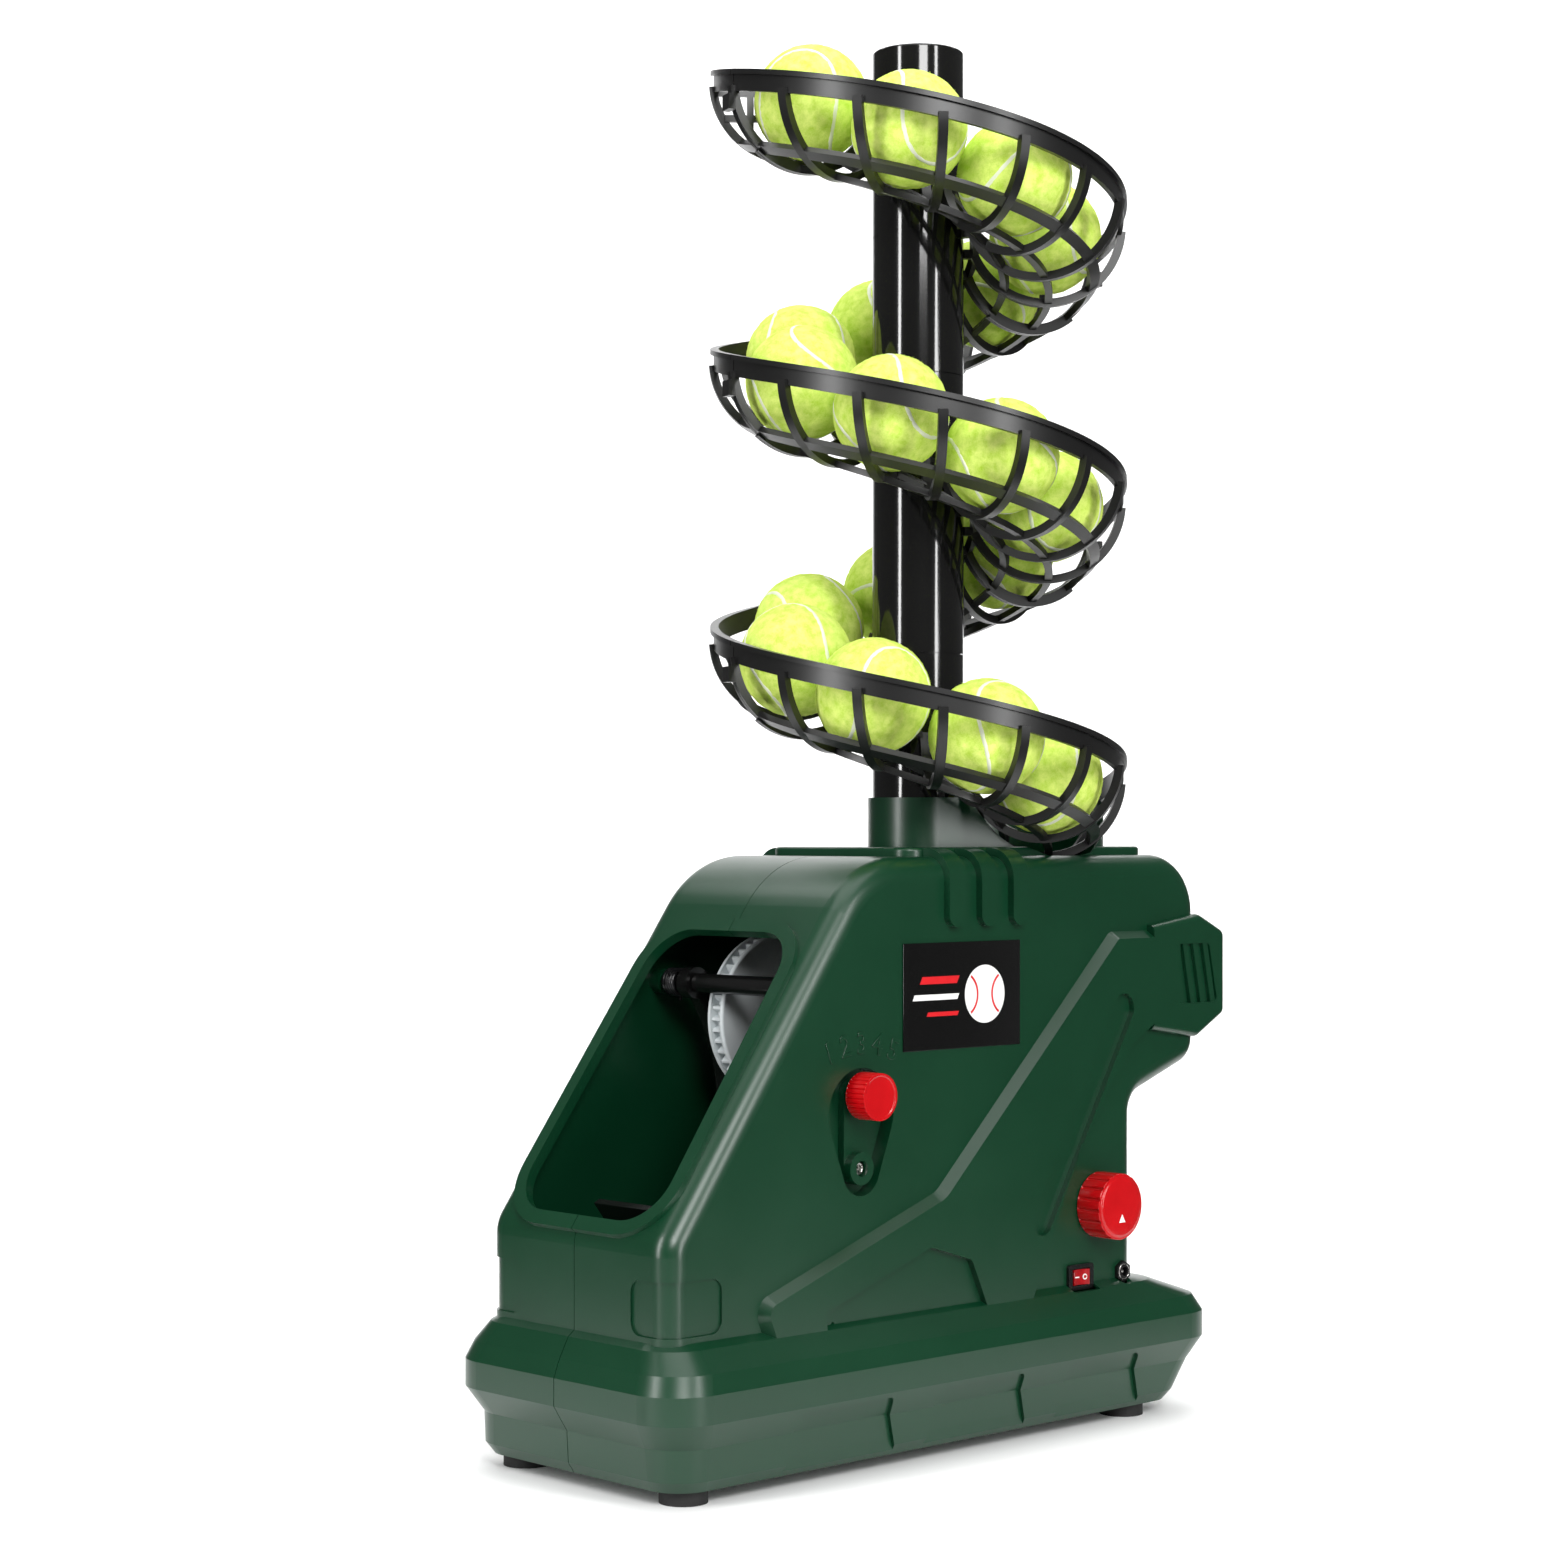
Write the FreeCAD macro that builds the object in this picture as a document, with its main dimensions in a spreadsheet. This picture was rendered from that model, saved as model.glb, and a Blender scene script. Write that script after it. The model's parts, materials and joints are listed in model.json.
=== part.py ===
import FreeCAD, Part
import math
import os

# Ball machine: a spring hammer in a two-part moulded housing throws balls that roll down a
# helical basket on a lift-off mast.  +Z is up, the balls leave towards -Y, the controls are on +X.
# The origin is on the floor, under the middle of the machine.

V = FreeCAD.Vector
X_AXIS, Y_AXIS, Z_AXIS = V(1, 0, 0), V(0, 1, 0), V(0, 0, 1)

doc = FreeCAD.newDocument("ball_machine")
sheet = doc.addObject("Spreadsheet::Sheet", "dims")
nodes = []

# ------------------------------------------------------------------ driving dimensions, mm
SIZES = [
    # housing, seen from the side (y from the mast axis)
    ("mast_y", 44.5), ("wall", 3.0), ("body_width", 150.0), ("roof_z", 335.0),
    ("front_y", -263.0), ("rear_y", 170.0), ("recess_y", 110.0), ("slope_foot_z", 136.0),
    ("slope_top_y", -118.4), ("overhang_z", 211.0), ("recess_top_z", 190.0), ("waist_z", 84.0),
    ("side_round", 13.0), ("seam_gap", 0.25),
    # bumper round the foot
    ("bumper_width", 190.0), ("bumper_front", 277.0), ("bumper_rear", 166.0), ("foot_height", 8.0),
    ("foot_radius", 13.0), ("foot_inset", 34.0),
    # launch window in the sloping face, measured along the slope
    ("window_width", 116.0), ("window_length", 184.0), ("window_start", 9.0), ("window_round", 26.0),
    ("lip_width", 8.5), ("lip_height", 3.0),
    # raised panel on each side
    ("relief_height", 6.0), ("block_depth", 18.0),
    # hopper, collar and mast socket
    ("deck_height", 5.0), ("collar_top_z", 369.0), ("collar_wall", 2.5), ("cup_x", 8.0), ("cup_y", 80.0),
    ("cup_radius", 51.0), ("hopper_floor_z", 308.0), ("throat_radius", 35.5), ("throat_x", 16.0),
    ("socket_floor_z", 324.0), ("running_gap", 0.05),
    # mast and helical basket
    ("mast_radius", 27.0), ("sleeve_wall", 1.8), ("core_wall", 2.5), ("mast_top_z", 809.0),
    ("pitch", 164.0), ("rim_radius", 123.0), ("rim_top_z", 797.0), ("basket_radius", 48.0),
    ("rail_depth", 4.0), ("rib_width", 5.5), ("rim_band", 12.5), ("bays", 8.0), ("half_turns", 5.0),
    ("flange_width", 2.2), ("clip_drop", 15.0), ("clip_size", 9.0), ("ball_radius", 33.5),
    ("ball_wall", 4.0), ("ball_drop", 13.6), ("first_ball", 29.5), ("ball_step", 50.3),
    ("balls_per_turn", 6.0),
    # launch mechanism
    ("shaft_y", -141.0), ("shaft_z", 263.0), ("shaft_radius", 4.0), ("bar_radius", 5.5),
    ("arm_x", -42.0), ("arm_width", 8.0), ("arm_reach", 135.0), ("strike_height", 34.0),
    ("gear_module", 2.0), ("gear_teeth", 44.0), ("pinion_teeth", 12.0), ("gear_y", -91.0), ("gear_z", 243.0),
    ("gear_x", -26.0), ("gear_width", 8.0), ("cheek_width", 2.0), ("cheek_lap", 3.5), ("axle_radius", 4.0),
    ("socket_depth", 8.0), ("socket_wall", 3.0), ("chute_radius", 36.0), ("chute_wall", 2.5),
    ("motor_radius", 17.0), ("motor_length", 52.0), ("motor_shaft", 2.5),
    # controls
    ("lever_y", -122.0), ("lever_z", 165.0), ("lever_reach", 40.0), ("lever_knob_radius", 13.0),
    ("lever_pan_depth", 9.0), ("dial_y", 75.0), ("dial_z", 129.0), ("dial_radius", 19.5),
    ("dial_height", 17.0), ("switch_y", 58.0), ("switch_z", 88.0), ("jack_y", 96.0), ("jack_z", 87.5),
    ("label_y", -42.0), ("label_z", 257.0), ("label_width", 96.0), ("label_height", 60.0),
    # battery bay in the rear wall
    ("door_width", 104.0), ("door_height", 78.0), ("door_z", 98.0), ("door_gap", 0.5),
]
for row, (alias, value) in enumerate(SIZES, start=1):
    sheet.set(f"A{row}", alias)
    sheet.set(f"B{row}", str(value))
    sheet.setAlias(f"B{row}", alias)
doc.recompute()
d = {alias: sheet.get(alias) for alias, _ in SIZES}
half_body = d["body_width"] / 2
deck_edge = half_body - 17                         # side edge of the hopper's roof plate


# ------------------------------------------------------------------ outlines
def rounded(corners, plane):
    """Closed wire through (a, b, radius) corners; plane turns (a, b) into a point."""
    flat = [V(a, b, 0) for a, b, _ in corners]
    edges, ends = [], []
    for i, (_, _, radius) in enumerate(corners):
        here, before, after = flat[i], flat[i - 1], flat[(i + 1) % len(flat)]
        to_a, to_b = (before - here).normalize(), (after - here).normalize()
        if radius <= 0:
            ends.append((here, None, here))
            continue
        half = to_a.getAngle(to_b) / 2
        reach = radius / math.tan(half)
        middle = here + (to_a + to_b).normalize() * (radius / math.sin(half) - radius)
        ends.append((here + to_a * reach, middle, here + to_b * reach))
    place = [tuple(p if p is None else plane(p.x, p.y) for p in end) for end in ends]
    for i, (start, middle, end) in enumerate(place):
        if middle is not None:
            edges.append(Part.Arc(start, middle, end).toShape())
        following = place[(i + 1) % len(place)][0]
        if (following - end).Length > 1e-6:
            edges.append(Part.makeLine(end, following))
    return Part.Wire(edges)


def side_plane(x):
    """Points of a side view: y counts from the mast axis."""
    return lambda y, z: V(x, y + d["mast_y"], z)


def floor_plane(z):
    return lambda x, y: V(x, y + d["mast_y"], z)


def hull_corners(centre_a, radius_a, centre_b, radius_b, plane):
    """Wire round two circles and the two lines that touch both."""
    (ax, ay), (bx, by) = centre_a, centre_b
    along = math.atan2(by - ay, bx - ax)
    lean = math.acos((radius_a - radius_b) / math.hypot(bx - ax, by - ay))

    def on(centre, radius, angle):
        return plane(centre[0] + radius * math.cos(angle), centre[1] + radius * math.sin(angle))

    a_left, a_right = on((ax, ay), radius_a, along + lean), on((ax, ay), radius_a, along - lean)
    b_left, b_right = on((bx, by), radius_b, along + lean), on((bx, by), radius_b, along - lean)
    return Part.Wire([
        Part.Arc(a_left, on((ax, ay), radius_a, along + math.pi), a_right).toShape(),
        Part.makeLine(a_right, b_right),
        Part.Arc(b_right, on((bx, by), radius_b, along), b_left).toShape(),
        Part.makeLine(b_left, a_left)])


def prism(wire, direction):
    return Part.Face(wire).extrude(direction)


def hull_prism(a, radius_a, b, radius_b, x0, x1):
    """Two-circle outline seen from the side, from x0 to x1."""
    return prism(hull_corners(a, radius_a, b, radius_b, side_plane(x0)), V(x1 - x0, 0, 0))


def side_prism(corners, x0, x1):
    return prism(rounded(corners, side_plane(x0)), V(x1 - x0, 0, 0))


def rod(y, z, radius, x0, x1):
    """Round bar along X."""
    return Part.makeCylinder(radius, x1 - x0, V(x0, y + d["mast_y"], z), X_AXIS)


def block(x0, x1, y0, y1, z0, z1):
    return Part.makeBox(x1 - x0, y1 - y0, z1 - z0, V(x0, y0 + d["mast_y"], z0))


def mirrored(shape):
    return shape.mirror(V(0, 0, 0), X_AXIS)


# ------------------------------------------------------------------ making and keeping sub-parts
def keep(obj, label):
    obj.Label = label
    nodes.append(obj)
    return obj


def feature(label, shape):
    """Sub-part whose shape neither a primitive nor a sketch can give."""
    obj = doc.addObject("Part::Feature", label)
    obj.Shape = shape
    obj.Placement = FreeCAD.Placement(obj.Placement)
    return keep(obj, label)


def bound(kind, name, turned=None, at=("0", "0", "0"), **sizes):
    """Part primitive whose sizes and place follow the sheet; at[1] counts from the mast axis."""
    obj = doc.addObject(kind, name)
    for prop, formula in sizes.items():
        obj.setExpression(prop, formula)
    if turned:
        obj.Placement = FreeCAD.Placement(V(0, 0, 0), FreeCAD.Rotation(*turned))
    x, y, z = at
    obj.setExpression("Placement.Base.x", x)
    obj.setExpression("Placement.Base.y", f"{y} + dims.mast_y")
    obj.setExpression("Placement.Base.z", z)
    return obj


ALONG_X = (Y_AXIS, 90)


def joined(kind, name, shapes):
    """Part::MultiFuse, or Part::Cut of the first by the others."""
    if kind == "cut":
        obj = doc.addObject("Part::Cut", name)
        obj.Base = shapes[0]
        obj.Tool = shapes[1] if len(shapes) == 2 else joined("fuse", name + "_tools", shapes[1:])
        return obj
    obj = doc.addObject("Part::MultiFuse", name)
    obj.Shapes = shapes
    return obj


# ------------------------------------------------------------------ housing
def body_profile(inset, x):
    """Side outline of the upper body, drawn in by inset."""
    bottom = d["waist_z"] - 20
    corners = [(d["front_y"], bottom, 0), (d["front_y"], d["slope_foot_z"], 22),
               (d["slope_top_y"], d["roof_z"], 66), (d["rear_y"], d["roof_z"], 35),
               (d["rear_y"], d["overhang_z"], 17), (d["recess_y"], d["recess_top_z"], 14),
               (d["recess_y"], bottom, 0)]
    wire = rounded(corners, side_plane(x))
    return wire.makeOffset2D(-inset) if inset else wire


def body_solid(inset=0.0):
    """Upper body with every side edge rounded; a negative inset grows it."""
    x = half_body - inset
    solid = prism(body_profile(inset, -x), V(2 * x, 0, 0))
    low = min(v.Z for v in solid.Vertexes) + 0.1
    edges = [e for e in solid.Edges
             if all(abs(abs(v.X) - x) < 1e-6 for v in e.Vertexes)
             and abs(e.CenterOfMass.x) > x - 1e-3 and e.CenterOfMass.z > low]
    return solid.makeFillet(d["side_round"] - inset, edges)


def bumper_solid(inset=0.0):
    """Foot ring: straight skirt, wide band and the cove up to the waist."""
    half, front, rear = d["bumper_width"] / 2, d["bumper_front"], d["bumper_rear"]
    base, waist = d["foot_height"], d["waist_z"]
    levels = [  # height, half width, front, rear, corner radius
        (base + inset, half - 13, front - 14, rear - 27, 20), (base + 6, half - 9, front - 10, rear - 22, 22),
        (base + 23, half - 8, front - 9, rear - 8, 24), (base + 37, half, front, rear, 28),
        (base + 52, half, front, rear, 28), (base + 62, half - 4, front - 4, rear - 6, 27),
        (waist - 3, half - 14, front - 10, rear - 38, 22), (waist, half - 20, front - 14, rear - 56, 18)]
    wires = []
    for z, x, y0, y1, radius in levels:
        x, y0, y1, radius = x - inset, y0 - inset, y1 - inset, radius - inset
        wires.append(rounded([(-x, -y0, radius), (x, -y0, radius), (x, y1, radius), (-x, y1, radius)],
                             floor_plane(z)))
    return Part.makeLoft(wires, True, True)


def slope_point(along, out=0.0):
    """Side-view point on the sloping face, counted up from its foot and out from it."""
    rise, run = d["roof_z"] - d["slope_foot_z"], d["slope_top_y"] - d["front_y"]
    length = math.hypot(rise, run)
    return (d["front_y"] + (along * run - out * rise) / length,
            d["slope_foot_z"] + (along * rise + out * run) / length)


def window_prism(grow, low, high):
    """Rounded window outline, from low to high across the sloping face."""
    half, start = d["window_width"] / 2 + grow, d["window_start"] - grow
    end = d["window_start"] + d["window_length"] + grow
    radius = d["window_round"] + grow

    def on_slope(x, along):
        y, z = slope_point(along, low)
        return V(x, y + d["mast_y"], z)

    wire = rounded([(-half, start, radius), (half, start, radius),
                    (half - 3, end, radius), (-half + 3, end, radius)], on_slope)
    (y0, z0), (y1, z1) = slope_point(0, low), slope_point(0, high)
    return prism(wire, V(0, y1 - y0, z1 - z0))


def relief_solids():
    """Raised side panel on +X, its rear block, and the cuts that go into them."""
    top, rise = d["relief_height"], d["relief_height"] - 0.5
    outline = [(85, 291, 8), (150, 291, 0), (150, 229, 0), (122, 229, 8), (105, 219, 8), (58, 162, 10),
               (14, 73, 8), (-11, 60, 8), (-187, 58, 8), (-205, 100, 12), (-64, 149, 14)]
    lower = rounded(outline, side_plane(half_body - 2))
    upper = rounded(outline, side_plane(half_body + top)).makeOffset2D(-rise)
    panel = Part.makeLoft([lower, upper], True, True)
    slot = hull_prism((92, 244), 9.0, (20, 124), 8.0, half_body + 2.5, half_body + 20)
    wedge = side_prism([(-155, 90, 5), (-73, 118, 5), (-40, 108, 5), (-24, 74, 5), (-152, 72, 5)],
                       half_body + 2, half_body + 20)
    drain = rod(-146, 83, 1.2, half_body - 1, half_body + 20)
    return panel.cut([slot, wedge, drain])


def rear_block():
    """Overhanging block across the rear, above the hand recess."""
    depth, half = d["rear_y"] + d["block_depth"], half_body + d["relief_height"]
    foot, head = d["overhang_z"] + 16, d["roof_z"] - 36
    shape = side_prism([(120, foot + 3, 0), (d["rear_y"] - 8, foot - 3, 6), (depth, foot + 11, 5),
                        (depth, head - 11, 5), (d["rear_y"] - 6, head, 8), (120, head - 6, 0)], -half, half)
    edges = [e for e in shape.Edges if abs(abs(e.CenterOfMass.x) - half) < 1e-3
             and e.CenterOfMass.y > d["mast_y"] + 121]
    shape = shape.makeFillet(4, edges)
    grip = side_prism([(132, 281, 3), (172, 281, 3), (180, 245, 3), (140, 245, 3)], half - 3, half + 5)
    for n in range(4):
        y = 137.5 + 9.5 * n
        bar = side_prism([(y, 282, 0), (y + 4.5, 282, 0), (y + 12.5, 244, 0), (y + 8, 244, 0)],
                         half - 6, half - 0.4)
        grip = grip.cut(bar)
    return shape.cut(grip).cut(mirrored(grip))


def shoulder_ribs():
    """Three round-ended ribs over the side edge of the roof."""
    skin = body_solid(-d["deck_height"] + 0.5)
    ribs = []
    for y in (-50.0, -23.5, 3.0):
        ribs.append(hull_prism((y, 302), 6.5, (y, 348), 6.5, deck_edge + 0.2, half_body + 9).common(skin))
    return ribs


def teardrop(grow, x0, x1):
    return hull_prism((d["lever_y"], d["lever_z"] + 30), 25 + grow, (d["lever_y"], d["lever_z"] - 1),
                      14 + grow, x0, x1)


def door_box(gap, y0, y1):
    half = d["door_width"] / 2 + gap
    return block(-half, half, y0, y1, d["door_z"] - gap, d["door_z"] + d["door_height"] + gap)


def hopper_outline(shrink, z):
    """Collar and cup seen from above: a ring round the mast drawn out to a round cup behind it."""
    ring = d["mast_radius"] + d["running_gap"] + d["collar_wall"] - shrink
    return hull_corners((0, 0), ring, (d["cup_x"], d["cup_y"]), d["cup_radius"] - shrink, floor_plane(z))


SCREWS = [(-246, 100), (-205, 28), (12, 28), (112, 28), (146, 316), (146, 232), (-72, 316)]
BOSS_RADIUS, SCREW_RADIUS, HEAD_RADIUS = 5.0, 1.5, 2.8


def side_reach(z):
    """Distance from the middle plane to the outside of the housing at a screw."""
    return half_body if z > d["waist_z"] else d["bumper_width"] / 2 - 8.5


def housing():
    """Closed two-part shell before it is split at the middle plane."""
    wall = d["wall"]
    outer = body_solid().fuse([bumper_solid(), rear_block()])
    inner = body_solid(wall).fuse(bumper_solid(wall))
    for panel in (relief_solids(), mirrored(relief_solids())):
        outer = outer.fuse(panel)
    outer = outer.fuse(shoulder_ribs() + [mirrored(r) for r in shoulder_ribs()])
    outer = outer.fuse(window_prism(d["lip_width"], -wall, d["lip_height"]))
    pan = teardrop(wall, half_body - wall - d["lever_pan_depth"], half_body - 1)
    shell = outer.cut(inner).fuse(pan)
    shell = shell.cut(teardrop(0, half_body - d["lever_pan_depth"], half_body + 5))
    shell = shell.cut(window_prism(0, -14, 12))
    # shallow patches round the two front corners
    front_view = rounded([(46, 87, 7), (half_body + 9, 87, 0), (half_body + 9, 116, 0), (46, 116, 7)],
                         lambda x, z: V(x, d["front_y"] - 9 + d["mast_y"], z))
    side_view = rounded([(d["front_y"] - 9, 87, 0), (d["front_y"] + 38, 87, 7), (d["front_y"] + 38, 116, 7),
                         (d["front_y"] - 9, 116, 0)], side_plane(40))
    patch = prism(front_view, V(0, 60, 0)).common(prism(side_view, V(50, 0, 0))).cut(body_solid(1.2))
    shell = shell.cut([patch, mirrored(patch)])
    # three bays along the foot of the bumper on each side
    half = d["bumper_width"] / 2
    for y0, y1 in ((-193, -104), (-86, 2), (22, 102)):
        bay = side_prism([(y0, 0, 0), (y0 + 11, 42, 4), (y1 - 11, 42, 4), (y1, 0, 0)], half - 11, half + 5)
        bay = bay.cut(bumper_solid(2.2))
        shell = shell.cut([bay, mirrored(bay)])
    # roof opening for the hopper, door opening, mast and control holes
    shell = shell.cut(prism(hopper_outline(-0.2, d["hopper_floor_z"] - 4), V(0, 0, 60)))
    shell = shell.cut(basket_clearance())
    shell = shell.cut(door_box(d["door_gap"], d["recess_y"] - 6, d["recess_y"] + 6))
    side = [rod(d["lever_y"], d["lever_z"], d["shaft_radius"] + d["running_gap"], 40, 90),
            rod(d["dial_y"], d["dial_z"], 3.0 + d["running_gap"], 60, 90),
            block(60, 90, d["switch_y"] - 9.5, d["switch_y"] + 9.5, d["switch_z"] - 6.2, d["switch_z"] + 6.2),
            rod(d["jack_y"], d["jack_z"], 4.0, 60, 90),
            rod(d["jack_y"], d["jack_z"], 7.0, half_body, half_body + 9),
            block(half_body, half_body + 9, d["switch_y"] - 11.4, d["switch_y"] + 11.4,
                  d["switch_z"] - 7.9, d["switch_z"] + 7.9)]
    shell = shell.cut(side)
    # sockets for the cross shafts, and the screw bosses
    posts, holes = [], []
    for y, z, radius in ((d["shaft_y"], d["shaft_z"], d["shaft_radius"]),
                         (d["gear_y"], d["gear_z"], d["axle_radius"])):
        deep = half_body - wall
        socket = rod(y, z, radius + d["socket_wall"], deep - d["socket_depth"], deep + 1)
        socket = socket.cut(rod(y, z, radius, deep - d["socket_depth"] - 1, deep))
        posts += [socket, mirrored(socket)]
    for y, z in SCREWS:
        reach = side_reach(z)
        posts.append(rod(y, z, BOSS_RADIUS, -reach + 1.5, reach - 1.5))
        holes.append(rod(y, z, SCREW_RADIUS, -reach - 9, reach - 12))
        holes.append(rod(y, z, HEAD_RADIUS + 0.4, -reach - 9, -reach + 6))
    return shell.fuse(posts).cut(holes)


# ------------------------------------------------------------------ helical basket
CENTRE_DROP = 6.5                                   # basket's round centre below its rim


def rim_height(turned):
    """Top of the rim, degrees after the top end of the basket."""
    return d["rim_top_z"] - d["pitch"] * turned / 360.0


START = 230.6                                       # direction of the basket's top end, degrees
BAY = 180.0 / d["bays"]
END_TURN = BAY + 180.0 * d["half_turns"]
basket_r = d["rim_radius"] - d["basket_radius"] + 0.5


def swept(outline, span, first=0.0):
    """Closed (radius, drop) outline carried down the helix, from first through span degrees."""
    corners = [V(r, 0, drop) for r, drop in outline]
    helix = Part.makeHelix(d["pitch"], d["pitch"] * span / 360.0, basket_r, 0, False)
    wire = Part.makePolygon(corners + corners[:1])
    shape = Part.Wire(helix.Edges).makePipeShell([wire], True, True).mirror(V(0, 0, 0), Z_AXIS)
    return placed(shape, first)


def placed(shape, turned):
    """Turn a shape made at the basket's top end to its place down the helix."""
    copy = shape.copy()
    copy.rotate(V(0, 0, 0), Z_AXIS, START + turned)
    copy.translate(V(0, d["mast_y"], rim_height(turned)))
    return copy


def basket_arc(radius, degrees):
    """(radius from the mast, drop) on the basket's round; 0 is outward, -90 straight down."""
    a = math.radians(degrees)
    return basket_r + radius * math.cos(a), CENTRE_DROP - radius * math.sin(a)


INNER_END = -160.0
RAILS = [(-53.0, 7.0), (-88.0, 4.5), (-122.0, 4.5), (INNER_END + 3.5, 5.0)]    # direction, width


rib_outer, rib_inner = d["basket_radius"] + 0.4, d["basket_radius"] - d["rail_depth"] - 0.4


def rail_outlines():
    outer, inner = d["basket_radius"], d["basket_radius"] - d["rail_depth"]
    outlines = []
    for direction, width in RAILS:
        spread = math.degrees(width / 2 / outer)
        outlines.append([basket_arc(outer, direction + spread), basket_arc(outer, direction - spread),
                         basket_arc(inner, direction - spread), basket_arc(inner, direction + spread)])
    rim, lip = d["rim_radius"], 2.0
    outlines.append([(rim, 0), (rim, 3.0), (rim - lip, 3.0), (rim - lip, d["rim_band"]),
                     (rim - lip - 3.0, d["rim_band"]), (rim - lip - 3.0, 0)])
    return outlines


def ring_sector(inner, outer, high, low, width, start):
    """Curved rib beside a radial plane, from start to start + width past it."""
    points = []
    for radius, a, b in ((outer, high, low), (inner, low, high)):
        for angle in (a, (a + b) / 2, b):
            r, drop = basket_arc(radius, angle)
            points.append(V(r, start, -drop))
    edges = [Part.Arc(*points[:3]).toShape(), Part.makeLine(points[2], points[3]),
             Part.Arc(*points[3:]).toShape(), Part.makeLine(points[5], points[0])]
    return prism(Part.Wire(edges), V(0, width, 0))


def rib(width, start, grow=0.0):
    """One rib from the rim to the mast; grow deepens its lower part into a joint flange."""
    curve = ring_sector(rib_inner, rib_outer, -4.0, INNER_END, width, start)
    if grow:
        curve = curve.fuse(ring_sector(rib_inner + 1, rib_outer + grow, -52.0, -124.0, width, start))
    r, drop = basket_arc((rib_outer + rib_inner) / 2, INNER_END + 2)
    tab = Part.makeBox(r - d["mast_radius"] + 1.0, width, 5.0, V(d["mast_radius"] - 1.0, start, -drop - 3.0))
    return curve.fuse(tab)


def half_sleeve(top, bottom, middle_direction):
    """Half-round mast sleeve that a basket piece carries."""
    outer, inner, gap = d["mast_radius"], d["mast_radius"] - d["sleeve_wall"], d["seam_gap"]
    ring = Part.makeCylinder(outer, top - bottom).cut(Part.makeCylinder(inner, top - bottom))
    half = ring.common(Part.makeBox(outer + 1, 2 * outer + 2, top - bottom,
                                    V(gap, -outer - 1, 0)))
    half.rotate(V(0, 0, 0), Z_AXIS, middle_direction)
    half.translate(V(0, d["mast_y"], bottom + gap))
    return half


def basket(first, bays):
    """Rails and ribs of one piece of the basket, bays long, from first degrees down."""
    span = bays * BAY
    edge = math.degrees(d["seam_gap"] / basket_r)
    parts = [swept(o, span - 2 * edge, first + edge) for o in rail_outlines()]
    flange = d["flange_width"]
    for n in range(1, int(bays)):
        parts.append(placed(rib(d["rib_width"], -d["rib_width"] / 2), first + n * BAY))
    for turn, start in ((first, d["seam_gap"]), (first + span, -d["seam_gap"] - flange)):
        grow = 1.5 if 0 < turn < END_TURN - 1 else 0.0
        parts.append(placed(rib(flange, start, grow), turn))
    return parts[0].fuse(parts[1:])


def end_wall():
    """Grid that closes the basket's top end."""
    outer, bars = d["basket_radius"], []
    for drop in (CENTRE_DROP + 9, CENTRE_DROP + 24):
        reach = math.sqrt((outer - 2) ** 2 - (drop - CENTRE_DROP) ** 2)
        bars.append(Part.makeBox(2 * reach, 3.0, 4.0, V(basket_r - reach, 0.4, -drop)))
    for r in (-24, 0, 24):
        low = math.sqrt((outer - 2) ** 2 - r ** 2)
        bars.append(Part.makeBox(4.0, 3.0, low + 2, V(basket_r + r - 2, 0.4, -CENTRE_DROP - low)))
    return placed(bars[0].fuse(bars[1:]), 0.0)


def basket_clearance():
    """Room that the last turns of the basket need in the collar and the roof."""
    gap, top = 2.4, 62.0
    outer = d["basket_radius"] + gap
    steps = [-6, -30, -54, -78, -102, -126, -150]
    outline = [(basket_r + outer + 1, -top)] + [basket_arc(outer + 0.6, a) for a in steps]
    inner_r = d["mast_radius"] - 1.5
    outline += [(inner_r, outline[-1][1]), (inner_r, -top)]
    return swept(outline, 114.0, END_TURN - 112.0)


# ------------------------------------------------------------------ housing pieces
shell = housing()
gap = d["seam_gap"]
big = 700.0
for label, corner in (("shell_left", -big), ("shell_right", gap)):
    side = Part.makeBox(big - gap, 2 * big, 2 * big, V(corner, -big, -10))
    feature(label, shell.common(side))


def hopper():
    """Roof plate, collar, cup floor with its throat, and the mast's socket, in one moulding."""
    floor, top, wall = d["hopper_floor_z"], d["collar_top_z"], d["collar_wall"]
    roof = d["roof_z"]
    cup = prism(hopper_outline(0, floor), V(0, 0, top - floor))
    plate = prism(rounded([(-deck_edge, -68, 12), (deck_edge, -68, 12), (deck_edge, 140, 12),
                           (-deck_edge, 140, 12)], floor_plane(roof + 0.02)), V(0, 0, d["deck_height"]))
    plate = plate.makeFillet(2.0, [e for e in plate.Edges if e.CenterOfMass.z > roof + 4])
    hollow = prism(hopper_outline(wall, floor + wall), V(0, 0, top - floor))
    throat = Part.makeCylinder(d["throat_radius"], 20,
                               V(d["throat_x"], d["cup_y"] + d["mast_y"], floor - 5))
    socket_r = d["mast_radius"] + d["running_gap"]
    socket = Part.makeCylinder(socket_r + wall, top - floor, V(0, d["mast_y"], floor))
    bore = Part.makeCylinder(socket_r, 200, V(0, d["mast_y"], d["socket_floor_z"]))
    shape = cup.fuse(plate).cut(hollow).fuse(socket)
    return shape.cut([bore, throat, basket_clearance()])


feature("hopper_collar", hopper())
feet = [bound("Part::Cylinder", f"foot_{n}", Radius="dims.foot_radius", Height="dims.foot_height - 0.01",
              at=(f"{sx} * (dims.bumper_width / 2 - 30)",
                  "(-dims.bumper_front + dims.foot_inset)" if front else
                  "(dims.bumper_rear - dims.foot_inset - 24)", "0"))
        for n, (sx, front) in enumerate(((-1, True), (1, True), (-1, False), (1, False)), start=1)]
keep(joined("fuse", "rubber_feet", feet), "rubber_feet")

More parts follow.
